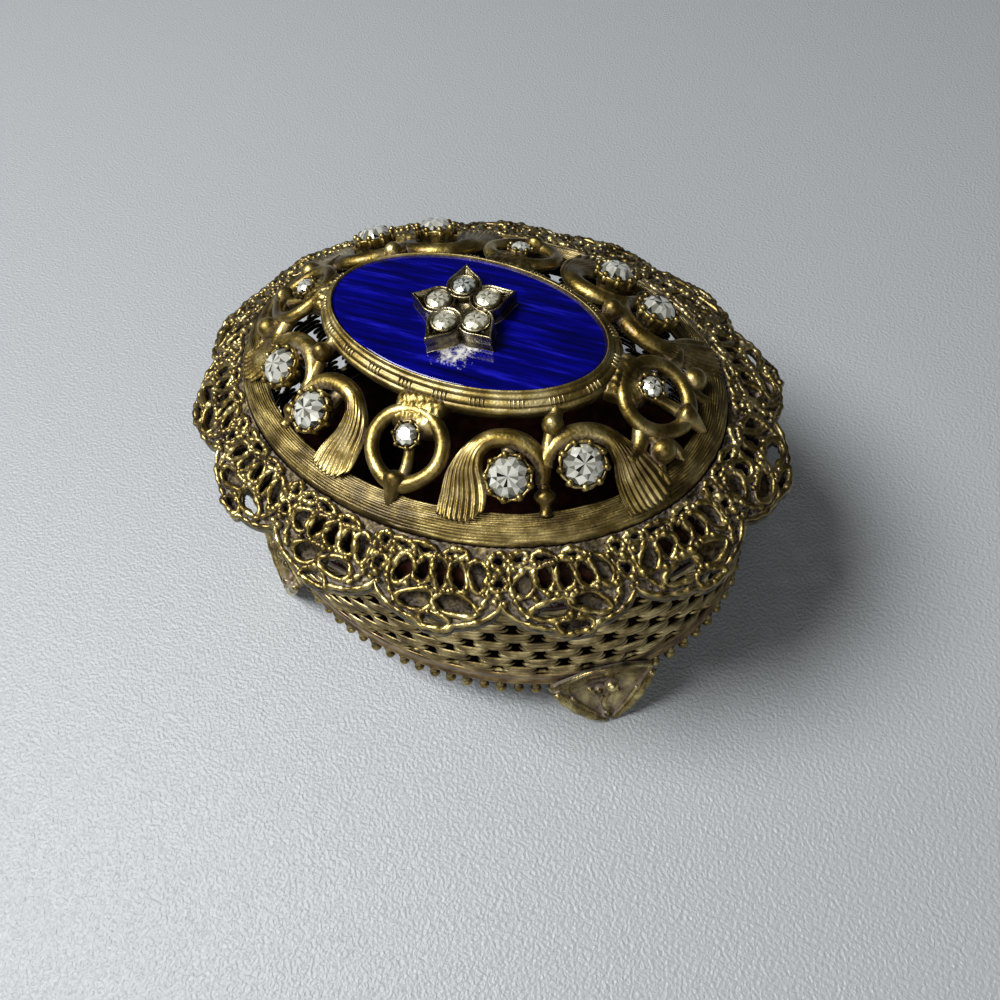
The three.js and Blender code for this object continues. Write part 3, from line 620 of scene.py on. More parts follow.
# Basket weave: rows of short wire bundles, each row set half a bundle along from the one below
def weaveTree():
    tree, given = nodeTree("basketWeave", {
        **ovalSockets, "Bundles": "Int", "Rows": "Int", "Row pitch": "Float", "Wander": "Float", "Seed": "Int",
        "Bundle": "Object", "Material": "Material"})
    twice = addNode(tree, "ShaderNodeMath", {"operation": "MULTIPLY", 1: 2.0}, {0: given["Bundles"]})
    points, turn = ovalPoints(tree, given, twice)
    index = addNode(tree, "GeometryNodeInputIndex")
    marked = addNode(tree, "GeometryNodeStoreNamedAttribute",
                     {"data_type": "INT", "domain": "POINT", "Name": "column"},
                     {"Geometry": points, "Value": index})
    headed = addNode(tree, "GeometryNodeStoreNamedAttribute",
                     {"data_type": "FLOAT", "domain": "POINT", "Name": "turn"},
                     {"Geometry": marked, "Value": turn})
    rows = addNode(tree, "GeometryNodeDuplicateElements", {"domain": "POINT"},
                   {"Geometry": headed, "Amount": given["Rows"]})
    row = rows.outputs["Duplicate Index"]
    half = addNode(tree, "ShaderNodeMath", {"operation": "MULTIPLY", 1: 0.5}, {0: given["Row pitch"]})
    rise = addNode(tree, "ShaderNodeMath", {"operation": "MULTIPLY_ADD"},
                   {0: row, 1: given["Row pitch"], 2: half})
    offset = addNode(tree, "ShaderNodeCombineXYZ", {}, {"Z": rise})
    stacked = addNode(tree, "GeometryNodeSetPosition", {}, {"Geometry": rows, "Offset": offset})
    column = addNode(tree, "GeometryNodeInputNamedAttribute", {"data_type": "INT", "Name": "column"})
    total = addNode(tree, "ShaderNodeMath", {"operation": "ADD"}, {0: column, 1: row})
    odd = addNode(tree, "ShaderNodeMath", {"operation": "MODULO", 1: 2.0}, {0: total})
    kept = addNode(tree, "GeometryNodeDeleteGeometry", {"domain": "POINT"},
                   {"Geometry": stacked, "Selection": odd})
    heading = addNode(tree, "GeometryNodeInputNamedAttribute", {"data_type": "FLOAT", "Name": "turn"})
    negative = addNode(tree, "ShaderNodeMath", {"operation": "MULTIPLY", 1: -1.0}, {0: given["Wander"]})
    tilt = addNode(tree, "FunctionNodeRandomValue", {"data_type": "FLOAT"},
                   {2: negative, 3: given["Wander"], "Seed": given["Seed"]})
    angles = addNode(tree, "ShaderNodeCombineXYZ", {}, {"Y": tilt.outputs[1], "Z": heading})
    source = addNode(tree, "GeometryNodeObjectInfo", {"transform_space": "ORIGINAL"},
                     {"Object": given["Bundle"]})
    bundles = addNode(tree, "GeometryNodeInstanceOnPoints", {},
                      {"Points": kept, "Instance": source.outputs["Geometry"], "Rotation": angles})
    finishTree(tree, bundles, given["Material"])
    return tree


# Cross ticks on the bezel: groups of short bars, with a bare step or more between them
def tickTree():
    tree, given = nodeTree("bezelTicks", {
        **ovalSockets, "Groups": "Int", "Steps in a group": "Int", "Bars in a group": "Int",
        "Bar size": "Vector", "Slope": "Float", "Material": "Material"})
    steps = given["Steps in a group"]
    count = addNode(tree, "ShaderNodeMath", {"operation": "MULTIPLY"}, {0: given["Groups"], 1: steps})
    points, turn = ovalPoints(tree, given, count)
    index = addNode(tree, "GeometryNodeInputIndex")
    step = addNode(tree, "ShaderNodeMath", {"operation": "MODULO"}, {0: index, 1: steps})
    last = addNode(tree, "ShaderNodeMath", {"operation": "SUBTRACT", 1: 0.5}, {0: given["Bars in a group"]})
    bare = addNode(tree, "ShaderNodeMath", {"operation": "GREATER_THAN"}, {0: step, 1: last})
    kept = addNode(tree, "GeometryNodeDeleteGeometry", {"domain": "POINT"},
                   {"Geometry": points, "Selection": bare})
    bar = addNode(tree, "GeometryNodeMeshUVSphere", {"Segments": 8, "Rings": 6, "Radius": 1.0})
    angles = addNode(tree, "ShaderNodeCombineXYZ", {}, {"X": given["Slope"], "Z": turn})
    bars = addNode(tree, "GeometryNodeInstanceOnPoints", {},
                   {"Points": kept, "Instance": bar, "Rotation": angles, "Scale": given["Bar size"]})
    finishTree(tree, bars, given["Material"])
    return tree


# Cast wires: a round section carried along every line of the given mesh, as thick as its points say
def wireTree():
    tree, given = nodeTree("castWires", {"Sides": "Int", "Material": "Material"})
    thickness = addNode(tree, "GeometryNodeInputNamedAttribute", {"data_type": "FLOAT", "Name": "radius"})
    lines = addNode(tree, "GeometryNodeMeshToCurve", {}, {"Mesh": given["Geometry"]})
    section = addNode(tree, "GeometryNodeCurvePrimitiveCircle", {"Radius": 1.0}, {"Resolution": given["Sides"]})
    wires = addNode(tree, "GeometryNodeCurveToMesh", {"Fill Caps": True},
                    {"Curve": lines, "Profile Curve": section, "Scale": thickness})
    finishTree(tree, wires, given["Material"])
    return tree


# Cast grains: a ball at each given point, sized by the point's own radius
def grainTree():
    tree, given = nodeTree("castGrains", {"Material": "Material"})
    radius = addNode(tree, "GeometryNodeInputNamedAttribute", {"data_type": "FLOAT", "Name": "radius"})
    grain = addNode(tree, "GeometryNodeMeshIcoSphere", {"Radius": 1.0, "Subdivisions": 2})
    grains = addNode(tree, "GeometryNodeInstanceOnPoints", {},
                     {"Points": given["Geometry"], "Instance": grain, "Scale": radius})
    finishTree(tree, grains, given["Material"])
    return tree


def growGrains(name, grains, material):
    mesh = bpy.data.meshes.new(name + "Points")
    mesh.from_pydata([[v * mm for v in place] for place, _ in grains], [], [])
    addValues(mesh, "radius", "POINT", [size * mm for _, size in grains])
    return grow(name, grainTree(), {"Material": material}, mesh)


def growWires(name, runs, sides, material):
    mesh = bpy.data.meshes.new(name + "Lines")
    points, edges, radii = [], [], []
    for places, thickness, closed in runs:
        first = len(points)
        points += [[v * mm for v in place] for place in places]
        radii += [r * mm for r in thickness]
        edges += [(first + k, first + k + 1) for k in range(len(places) - 1)]
        if closed:
            edges.append((first + len(places) - 1, first))
    mesh.from_pydata(points, edges, [])
    addValues(mesh, "radius", "POINT", radii)
    piece = grow(name, wireTree(), {"Sides": sides, "Material": material}, mesh)
    corners = np.array([v.co for v in piece.data.vertices])
    if signedVolume(corners, [tuple(p.vertices) for p in piece.data.polygons]) < 0:
        piece.data.flip_normals()
    return piece


def settle(piece, node):
    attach(piece, "root")
    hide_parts(node)


# Basket wall

weave = {"bundles": 35, "rows": 7, "bundleLength": 4.8, "middleLength": 0.9, "wireRadius": 0.34,
         "spread": 0.315, "bow": 0.2, "flare": 0.26, "sink": 0.45, "rimHeight": 1.0,
         "wander": math.radians(1.6), "seed": 11}
rowPitch = (wallTop - weave["rimHeight"] - bandTop) / weave["rows"]


# Three wires side by side, bowed outwards, whose ends fan out and dive behind the next bundle
def makeBundle():
    shape = Shape()
    for wire in (-1, 0, 1):
        course, radii = [], []
        for x in (-0.5, -0.46, -0.38, -0.26, 0.0, 0.26, 0.38, 0.46, 0.5):
            end = max(0.0, abs(x) - 0.3) / 0.2
            out = -weave["wireRadius"] + weave["bow"] * (1 - (2 * x) ** 2) - weave["sink"] * end ** 2
            height = wire * (rowPitch * weave["spread"] + weave["flare"] * end ** 1.5)
            length = weave["bundleLength"] * (1.0 if wire else weave["middleLength"])
            course.append((x * length, -out, height))
            radii.append(weave["wireRadius"] * (0.5 if abs(x) == 0.5 else 1.0 - 0.18 * end))
        tube(shape, course, radii, 7)
    return shape.make("wireBundle", weaveGilt)


bundle = makeBundle()
wall = grow("basketWeave", weaveTree(), {
    **ovalValues(wallRadius, bandTop), "Bundles": weave["bundles"], "Rows": weave["rows"],
    "Row pitch": rowPitch * mm, "Wander": weave["wander"], "Seed": weave["seed"], "Bundle": bundle,
    "Material": weaveGilt})
bpy.data.objects.remove(bundle)
settle(wall, "basket_wall")

# The wall's rims: how far in from the face, and how far up from the top
wallTopRim = [(1.3, -1.3), (0.3, -1.3), (0.02, -1.1), (0.15, -0.75), (0.02, -0.45), (0.1, -0.1), (0.4, 0.0),
              (1.3, 0.0)]
wallFootRim = [(1.3, wallFoot), (0.3, wallFoot), (0.3, bandTop + 0.1), (1.3, bandTop + 0.1)]
rims = Shape()
ovalSweep(rims, [(wallRadius - deep, wallTop + rise) for deep, rise in wallTopRim], 240)
ovalSweep(rims, [(wallRadius - deep, height) for deep, height in wallFootRim], 240)
settle(rims.make("wallRims", weaveGilt), "basket_wall")
print("basket wall made")


# Band with bead drops

band = {"proud": 0.12, "sunk": 0.25, "beads": 86, "ballRadius": 0.74, "ballHeight": 6.75,
        "neckShare": 0.62, "neckSunk": 0.2, "dropsIn": 0.1, "footClearance": 6.4, "smallest": 0.92,
        "largest": 1.08, "seed": 3}
bandOuter = wallRadius + band["proud"]
bandInner = wallRadius - band["sunk"]
# Its mouldings: how far out from the face, and how far up from the foot or the top
footMoulding = [(-0.1, 0.0), (0.15, 0.15), (0.15, 0.5), (-0.05, 0.65)]
topMoulding = [(-0.05, -0.6), (0.05, -0.45), (0.0, -0.1), (-0.2, 0.0)]
bandShape = Shape()
ovalSweep(bandShape, [(bandInner, wallFoot)]
          + [(bandOuter + out, wallFoot + rise) for out, rise in footMoulding]
          + [(bandOuter + out, bandTop + rise) for out, rise in topMoulding] + [(bandInner, bandTop)], 300)
settle(bandShape.make("beadBand", bandGilt), "bead_rim")
dropRadius = bandOuter - band["dropsIn"]
footPlace = ovalPoint(dropRadius, math.radians(footAngle))
drops = grow("beadDrops", beadDropTree(), {
    **ovalValues(dropRadius, band["ballHeight"]), "Count": band["beads"],
    "Ball radius": band["ballRadius"] * mm, "Neck share": band["neckShare"],
    "Neck length": (wallFoot - band["ballHeight"] + band["neckSunk"]) * mm,
    "Foot place": (footPlace[0] * mm, footPlace[1] * mm, band["ballHeight"] * mm),
    "Foot clearance": band["footClearance"] * mm, "Smallest": band["smallest"], "Largest": band["largest"],
    "Seed": band["seed"], "Material": antiqueGilt})
settle(drops, "bead_rim")
print("band and drops made")


# Feet: a leaf with rolled sides, a boss in its dish and a small scroll at the tip. A place on a
# foot is given by side, -1 to 1, part of the way down, 0 to 1, and mm out from its back

foot = {"width": 13.4, "top": 12.8, "shoulder": 8.9, "tipWidth": 0.5, "tipHeight": 0.15, "taper": 0.7,
        "stand": 0.35, "splay": 1.7, "thickness": 1.0, "leaf": 0.7, "dish": 2.1, "fold": 0.2, "rim": 0.5,
        "across": 44, "down": 36}
footRims = [  # side, out, size, where it starts
    (-0.96, 0.25, 1.15, 0.03), (0.96, 0.25, 1.25, 0.03), (0.84, -0.15, 0.6, 0.3), (-0.84, -0.2, 0.5, 0.4)]
footBosses = [  # side, part, radius, out
    (-0.2, 0.46, 1.0, -0.3), (0.18, 0.5, 0.85, -0.3), (-0.02, 0.6, 0.7, -0.1), (-0.42, 0.56, 0.5, -0.2),
    (0.42, 0.42, 0.5, -0.3), (0.0, 0.95, 0.85, 0.6)]
footVein = {"course": [(0.0, 0.62, 0.1), (0.15, 0.72, 0.35), (0.1, 0.85, 0.7)], "radius": 0.42}


def footPoint(side, part, out):
    middle = math.radians(footAngle)
    pace = math.hypot(wallRadius * math.sin(middle), (wallRadius - ovalDifference) * math.cos(middle))
    arch = foot["shoulder"] + (foot["top"] - foot["shoulder"]) * (1 - side * side)
    narrow = max(0.0, 1 - part) ** foot["taper"]
    half = foot["tipWidth"] / 2 + (foot["width"] / 2 - foot["tipWidth"] / 2) * narrow
    t = middle + side * half / pace
    away = foot["stand"] + foot["splay"] * part ** 0.8 + out
    place = ovalPoint(wallRadius, t) + ovalOut(wallRadius, t) * away
    return np.array([place[0], place[1], arch * (1 - part) + foot["tipHeight"] * part])


def makeFoot(name, signX, signY):
    front, back = [], []
    for i in range(foot["across"] + 1):
        side = 2 * i / foot["across"] - 1
        for j in range(foot["down"] + 1):
            part = j / foot["down"]
            hollow = (1 - abs(side) ** 3.4) * math.sin(math.pi * min(1.0, 0.04 + 0.9 * part)) ** 0.8
            fold = foot["fold"] * math.cos(9 * side + 4 * part) * hollow * (1 - abs(side))
            out = foot["thickness"] - foot["dish"] * hollow + fold
            front.append(footPoint(side, part, out))
            back.append(footPoint(side, part, min(0.0, out - foot["leaf"])))
    shape = Shape()
    slab(shape, front, back, foot["across"] + 1, foot["down"] + 1)
    swell = lambda f: foot["rim"] * (0.6 + 0.55 * math.sin(math.pi * min(1, 0.2 + f * 0.8)))
    parts = [k / 36 for k in range(37)]
    for side, out, size, start in footRims:
        course = [footPoint(side, start + (1 - start) * p, foot["thickness"] + out) for p in parts]
        tube(shape, course, [size * swell(p) * (1 + 0.08 * math.sin(23 * p + 3 * side)) for p in parts], 10)
    for side, part, size, out in footBosses:
        ball(shape, footPoint(side, part, out), size, 8, 12, 0.85)
    tube(shape, [footPoint(*place) for place in smoothCourse(footVein["course"], 12)], footVein["radius"], 8)
    for block in shape.points:
        block[:, 0] *= signX
        block[:, 1] *= signY
        block[:, 2] = np.maximum(block[:, 2], 0.0)
    if signX * signY < 0:
        shape.faces = [face[::-1] for face in shape.faces]
    return shape.make(name, footGilt)


for quarter, (signX, signY) in quarters.items():
    settle(makeFoot("foot_" + quarter + "_leaf", signX, signY), "foot_" + quarter)
print("feet made")


# Lid: ribbed ring, with the shoulder under the lace and the lip inside the wall

ring = {"radius": 31.0, "width": 3.0, "outerZ": 38.0, "innerZ": 39.2, "ribs": 11, "ribHeight": 0.27,
        "crown": 0.45, "steps": 560, "fine": 70}
ringUnder = [(27.9, ring["innerZ"] - 1.5), (30.6, ring["outerZ"] - 2.2),
             (ring["radius"] + 0.1, ring["outerZ"] - 0.9)]
wallInner = wallRadius - 1.4


# The ribs wander and vary a little, as cast ones do
def ribHeightAt(part, t):
    wobble = 0.16 * math.sin(2 * t + 0.7) + 0.09 * math.sin(7 * t + 2.0) + 0.06 * math.sin(23 * t)
    phase = (part * ring["ribs"] + wobble) % 1.0
    uneven = 0.85 + 0.25 * math.sin(31 * t + 5 * int(part * ring["ribs"] + wobble))
    return ring["ribHeight"] * (math.sqrt(max(0.0, 1 - (2 * phase - 1) ** 4)) * uneven - 0.6)


def makeRing():
    points = []
    for k in range(ring["steps"]):
        t = 2 * math.pi * k / ring["steps"]
        section = list(ringUnder)
        for j in range(ring["fine"] + 1):
            part = j / ring["fine"]
            height = ring["outerZ"] + (ring["innerZ"] - ring["outerZ"]) * part
            height += ring["crown"] * math.sin(math.pi * part) + ribHeightAt(part, t)
            section.append((ring["radius"] - ring["width"] * part, height))
        for radius, height in section:
            points.append((*ovalPoint(radius, t), height))
    shape = Shape()
    shape.add(points, gridFaces(ring["steps"], len(section), True, True))
    return shape.make("ribbedRing", ringGilt)


settle(makeRing(), "lid_openwork")

# The inside, painted dark as shade: the slope under the ring, the seat on the wall's top and the lip within it
shoulder = Shape()
ovalSweep(shoulder, [
    (28.2, ring["innerZ"] - 1.7), (33.4, 32.6), (33.4, wallTop - 1.9), (wallInner - 0.3, wallTop - 1.9),
    (wallInner - 0.3, wallTop + 0.3), (wallRadius, wallTop + 0.3), (wallRadius, wallTop + 1.2),
    (ring["radius"] + 0.3, ring["outerZ"] - 1.9), (30.4, ring["outerZ"] - 1.6)], 200)
settle(shoulder.make("lidShoulder", darkLining), "lid_openwork")


# Openwork on the dome between bezel and ring

dome = {"rise": 5.0, "bulge": 0.5}  # from the ring up to the bezel, and over a straight slope between
ringInner = ring["radius"] - ring["width"]
domeFoot, domeTop = ring["innerZ"], ring["innerZ"] + dome["rise"]
domeAngle = math.atan2(domeTop - domeFoot, ringInner - bezelRadius)


def domeHeight(radius):
    part = (radius - bezelRadius) / (ringInner - bezelRadius)
    return domeTop - part * (domeTop - domeFoot) + 4 * dome["bulge"] * part * (1 - part)


def onDome(x, y, lift=0.0):
    return np.array([x, y, domeHeight(ovalThrough(abs(x), abs(y))) + lift])


def domeNormal(x, y):
    radius = ovalThrough(abs(x), abs(y))
    out = np.array([x / radius ** 2, y / (radius - ovalDifference) ** 2])
    out /= np.linalg.norm(out)
    return np.array([out[0] * math.sin(domeAngle), out[1] * math.sin(domeAngle), math.cos(domeAngle)])


# Where the scrolls run in one quarter, in mm, and from what part of the way they spread into leaves
scrolls = {
    "inner": {"course": [(15.5, 14.2), (14.8, 12.5), (13.1, 11.5), (10.8, 11.45), (8.6, 12.4), (7.4, 14.2),
                         (7.2, 16.2), (7.9, 18.4), (8.3, 20.2)], "leaf": 0.5, "spread": 2.65, "bend": 1.5},
    "outer": {"course": [(15.5, 14.2), (15.0, 11.6), (15.9, 9.3), (17.9, 7.6), (20.3, 7.0), (22.5, 7.7),
                         (24.4, 8.9), (26.6, 10.3)], "leaf": 0.56, "spread": 3.0, "bend": 1.3},
}
scrollWire = {"half": 1.14, "rise": 1.0, "under": 0.6, "flutes": 8, "fluteHeight": 0.36, "curl": 0.75,
              "ragged": 0.6, "steps": 84, "tops": 91, "lows": 9}


# A scroll's wire runs on into its leaf: the section spreads, flattens and takes up flutes
def makeScroll(shape, look, signX, signY):
    course = smoothCourse([onDome(signX * x, signY * y, 0.1) for x, y in look["course"]], scrollWire["steps"])
    count, tops, lows = len(course), scrollWire["tops"], scrollWire["lows"]
    points = []
    for k in range(count):
        f = k / (count - 1)
        leaf = max(0.0, (f - look["leaf"]) / (1 - look["leaf"]))
        soft = leaf * leaf * (3 - 2 * leaf)
        half = scrollWire["half"] * (0.62 + 0.38 * min(1.0, f * 3.2))
        half += (look["spread"] - scrollWire["half"]) * (1.12 * soft ** 1.1 - 0.12 * leaf ** 5)
        rise = scrollWire["rise"] * (0.7 + 0.3 * min(1.0, f * 3)) * (1 - 0.5 * soft)
        along = course[min(k + 1, count - 1)] - course[max(k - 1, 0)]
        along /= np.linalg.norm(along)
        side = np.cross(along, (0, 0, 1))
        side /= np.linalg.norm(side)
        top = np.cross(side, along)
        middle = course[k] + top * scrollWire["curl"] * leaf ** 4
        for n in range(tops + lows):
            if n < tops:
                a = math.pi * n / (tops - 1)
                across = scrollWire["flutes"] * ((math.cos(a) + 1) / 2) ** 1.25
                ripple = abs(math.sin(math.pi * across + 1.4 * leaf)) - 0.6
                ripple *= 0.75 + 0.35 * math.sin(2.7 * math.cos(a) * scrollWire["flutes"] + 1)
                fluted = scrollWire["fluteHeight"] * min(1.0, 2.2 * soft) * ripple * math.sin(a) ** 0.3
                height = rise * math.sin(a) + fluted
            else:
                a = math.pi + math.pi * (n - tops + 1) / (lows + 1)
                ripple = 0.0
                height = scrollWire["under"] * math.sin(a)
            u = math.cos(a)
            drawn = look["bend"] * (0.75 - 0.45 * u) * u * u * soft - scrollWire["ragged"] * ripple * leaf ** 5
            points.append(middle - along * drawn + side * half * u + top * height)
    shape.add(points, cappedFaces(count, tops + lows))


# The ring at each end and side of the bezel, its beak and bar, and the solder that holds it
dropRing = {"across": 4.25, "along": 3.5, "wire": 0.86, "pointed": 0.35, "x": 23.1, "y": 15.75,
            "beak": [0.4, 0.85, 1.2, 1.38, 1.4, 1.32, 1.2, 1.05, 0.9, 0.78, 0.66, 0.55, 0.42]}
solder = {"half": 3.1, "narrowing": 0.5, "start": -0.8, "reach": 4.1, "height": 0.65, "crown": 0.7, "sunk": 0.6,
          "across": 40, "deep": 18}


def solderLumps(side, part):
    return (0.09 * math.sin(11 * side + 9 * part) * math.sin(14 * part - 6 * side)
            + 0.05 * math.sin(23 * side - 5 * part) * math.cos(21 * part))


# Direction is the way out from the lid's middle, and centre the mm to the ring's own
def makeDropRing(shape, direction, centre):
    along = lambda d, s=0.0: (direction[0] * d - direction[1] * s, direction[1] * d + direction[0] * s)
    on = lambda d, s, lift: onDome(*along(centre + d, s), lift)
    normal = domeNormal(*along(centre))
    turn = Vector((0, 0, 1)).rotation_difference(Vector(normal)).to_matrix()
    middle = on(0.0, 0.0, 0.3)
    loop, radii = [], []
    for k in range(72):
        a = 2 * math.pi * k / 72
        toTip = max(0.0, math.cos(a)) ** 4
        u = (dropRing["along"] + dropRing["pointed"] * toTip) * math.cos(a) / math.cos(domeAngle)
        v = dropRing["across"] * math.sin(a)
        loop.append(middle + np.array(turn @ Vector((*along(u, v), 0.0))))
        radii.append(dropRing["wire"] * (1 + 0.15 * toTip))
    tube(shape, loop, radii, 14, closed=True, flat=0.9, up=tuple(normal))
    beak = smoothCourse([on(2.6, 0.0, 0.5), on(4.0, 0.0, 0.9), on(5.9, 0.0, 0.6)], 12)
    tube(shape, beak, dropRing["beak"], 12)
    bar = smoothCourse([on(3.4, 0.2, 0.1), on(2.0, 0.5, -0.3), on(-0.2, 0.2, -0.3)], 14)
    tube(shape, bar, np.linspace(0.8, 0.6, len(bar)), 10)
    bezelEdge = bezelRadius - (ovalDifference if direction[0] == 0 else 0)
    top, bottom = [], []
    for i in range(solder["across"] + 1):
        side = 2 * i / solder["across"] - 1
        for j in range(solder["deep"] + 1):
            part = j / solder["deep"]
            half = solder["half"] - solder["narrowing"] * part
            distance = bezelEdge + solder["start"] + solder["reach"] * part - 0.35 * side * side * part
            x, y = along(distance, side * half)
            crown = (max(0.0, 1 - side ** 4) * max(0.0, 1 - (2 * part - 1) ** 4)) ** 0.5
            lift = solder["height"] + solder["crown"] * crown + solderLumps(side, part)
            top.append(onDome(x, y, lift))
            bottom.append(onDome(x, y, -solder["sunk"]))
    slab(shape, top, bottom, solder["across"] + 1, solder["deep"] + 1)


# In one quarter: balls with their centre, radius and roundness, and stems with their course and radius
openworkBalls = [((14.6, 8.8, 0.9), 1.22, (10, 16), 1.1), ((25.9, 5.2, 0.7), 1.5, (12, 18), 1.0)]
openworkStems = [
    ([(15.3, 12.6, 0.2), (14.8, 10.6, 0.2), (14.6, 9.4, 0.4)], 0.75),
    ([(14.6, 8.6, 0.6), (14.3, 7.4, 0.2), (14.0, 6.4, 0.2)], 0.85),
    ([(22.9, 4.1, 0.3), (23.4, 6.0, 0.0), (22.9, 8.2, 0.2)], 0.95),
    ([(25.6, 3.7, 0.2), (27.2, 3.9, 0.2), (28.4, 4.7, 0.0)], 0.6),
    ([(26.0, 6.4, 0.2), (26.6, 7.6, 0.2), (27.2, 8.6, 0.2)], 0.7),
    ([(23.9, 4.2, 0.2), (24.8, 4.6, 0.3), (25.8, 5.1, 0.3)], 0.8),
    ([(12.3, 14.8, -0.6), (11.4, 13.4, -0.6), (10.6, 12.0, -0.5)], 0.8),
    ([(18.7, 11.2, -0.6), (18.5, 9.6, -0.6), (18.3, 8.0, -0.5)], 0.8)]
post = {"course": [(15.7, 14.2, 0.1), (16.05, 14.9, 0.3), (16.45, 15.7, 0.2), (16.85, 16.5, 0.1)],
        "radii": [0.75, 0.68, 0.62, 0.75, 0.98, 1.14, 1.2, 1.16, 1.0, 0.78, 0.62, 0.58, 0.62, 0.74, 0.9]}
underBezel = {"inner": 14.9, "in": 0.6, "foot": 1.2, "top": 0.2}  # the ledge that carries the bezel


def makeOpenwork():
    shape = Shape()
    for signX, signY in quarters.values():
        at = lambda x, y, lift: onDome(signX * x, signY * y, lift)
        for look in scrolls.values():
            makeScroll(shape, look, signX, signY)
        for centre, radius, roundness, squash in openworkBalls:
            ball(shape, at(*centre), radius, *roundness, squash)
        tube(shape, smoothCourse([at(*place) for place in post["course"]], 14), post["radii"], 12)
        for course, radius in openworkStems:
            tube(shape, smoothCourse([at(*place) for place in course], 10), radius, 10)
    for sign in (1, -1):
        makeDropRing(shape, (sign, 0), dropRing["x"])
        makeDropRing(shape, (0, sign), dropRing["y"])
    low, high = domeTop - underBezel["foot"], domeTop + underBezel["top"]
    outer = bezelRadius - underBezel["in"]
    ovalSweep(shape, [(underBezel["inner"], low), (bezelRadius - 1.0, low), (outer, low + 0.3), (outer, high),
                      (underBezel["inner"], high)], 160)
    return shape.make("scrollOpenwork", scrollGilt)


settle(makeOpenwork(), "lid_openwork")
print("lid casting made")


# Lace border: loops of raised wire over a dusty web, lobe by lobe

lace = {"lobes": 14, "phase": 2.0, "inner": 31.25, "tip": 39.72, "valley": 36.7, "slope": 0.62, "drop": 0.55,
        "reference": 36.5, "thickness": 1.1, "wire": 0.39, "sink": 0.22, "cupDepth": 0.9,
        "columns": 58, "rows": 42, "placeSeed": 5, "wireSeed": 8}
# How much the cast lobes differ: shifts in mm, shares of size, degrees of tilt, and how often a
# cell is open or filled as planned
wander = {"along": 0.22, "between": 0.1, "shift": 0.15, "long": (0.95, 1.16), "wide": (0.95, 1.13), "tilt": 12,
          "grain": (0.9, 1.5), "asPlanned": 0.82, "outerAsPlanned": 0.55}
outerCells = 6  # mm from the root of the lace
laceCells = [  # along and out from the middle of the lobe's root in mm, half sizes, tilt, open or filled
    (0.35, 3.3, 1.0, 1.75, -5, True), (2.6, 3.4, 1.0, 1.7, -10, True), (-1.95, 3.4, 1.15, 1.5, 10, True),
    (4.75, 3.3, 1.05, 1.6, -22, False), (-4.35, 3.8, 1.15, 1.65, 25, False),
    (-1.95, 6.75, 1.95, 1.2, -14, True), (2.15, 6.65, 2.05, 1.25, 14, True), (0.2, 8.8, 1.5, 1.0, 0, False),
    (-2.0, 1.15, 1.45, 0.6, 5, True), (1.9, 1.1, 1.3, 0.55, -5, False), (-4.9, 1.2, 1.1, 0.6, 0, False),
    (7.3, 1.5, 0.85, 0.8, 0, True), (7.3, 3.9, 0.85, 0.9, 0, True)]
laceGrains = [  # along, out and radius
    (0.1, 5.35, 0.46), (-0.9, 5.3, 0.38), (1.05, 5.25, 0.38), (1.9, 5.15, 0.34), (-1.9, 5.4, 0.34),
    (3.3, 5.25, 0.38), (-3.4, 5.55, 0.38), (0.05, 7.55, 0.46), (-0.5, 7.95, 0.34), (0.75, 7.9, 0.34),
    (5.6, 5.3, 0.4), (-5.9, 5.2, 0.42), (7.3, 2.7, 0.45), (7.3, 5.25, 0.45), (6.9, 6.1, 0.36),
    (7.7, 6.15, 0.36), (-5.6, 2.5, 0.36), (5.9, 2.4, 0.38), (-0.7, 1.9, 0.34), (3.7, 1.6, 0.36),
    (-3.1, 2.1, 0.34), (1.5, 1.9, 0.3)]
# The wires that part one lobe from the next, as one side of a lobe has them
laceSides = [(6.0, 0.9), (6.15, 2.6), (6.1, 4.4), (5.5, 6.2), (4.5, 7.6)]

pitch = ovalLength(lace["reference"]) / lace["lobes"]
laceStretch = math.hypot(1, lace["slope"])
laceReach = (lace["tip"] - lace["inner"]) * laceStretch
laceSpan = lace["lobes"] * lace["columns"]
lacePhase = math.radians(lace["phase"])
laceTurns = np.append(evenAngles(lace["reference"], laceSpan, lacePhase), lacePhase + 2 * math.pi)


def laceTop(radius):
    return ring["outerZ"] - lace["drop"] - lace["slope"] * (radius - lace["inner"])


# A place on the lace from mm along its reference oval and mm out from its root
def laceSpot(along, out, lift):
    t = np.interp(along / pitch * lace["columns"] % laceSpan, np.arange(laceSpan + 1), laceTurns)
    radius = lace["inner"] + out / laceStretch
    x, y = ovalPoint(radius, t)
    return (x, y, laceTop(radius) + lift)


# How far along from a place, by the shorter way round
def alongFrom(along, x):
    return (along - x + lace["lobes"] * pitch / 2) % (lace["lobes"] * pitch) - lace["lobes"] * pitch / 2


# How far out of a cell, less than nought inside it
def offCell(cell, along, out):
    x, y, a, b, tilt, _ = cell
    turn = math.radians(tilt)
    away = alongFrom(along, x)
    p = away * math.cos(turn) + (out - y) * math.sin(turn)
    q = (out - y) * math.cos(turn) - away * math.sin(turn)
    return (np.sqrt((p / a) ** 2 + (q / b) ** 2) - 1) * (a + b) / 2


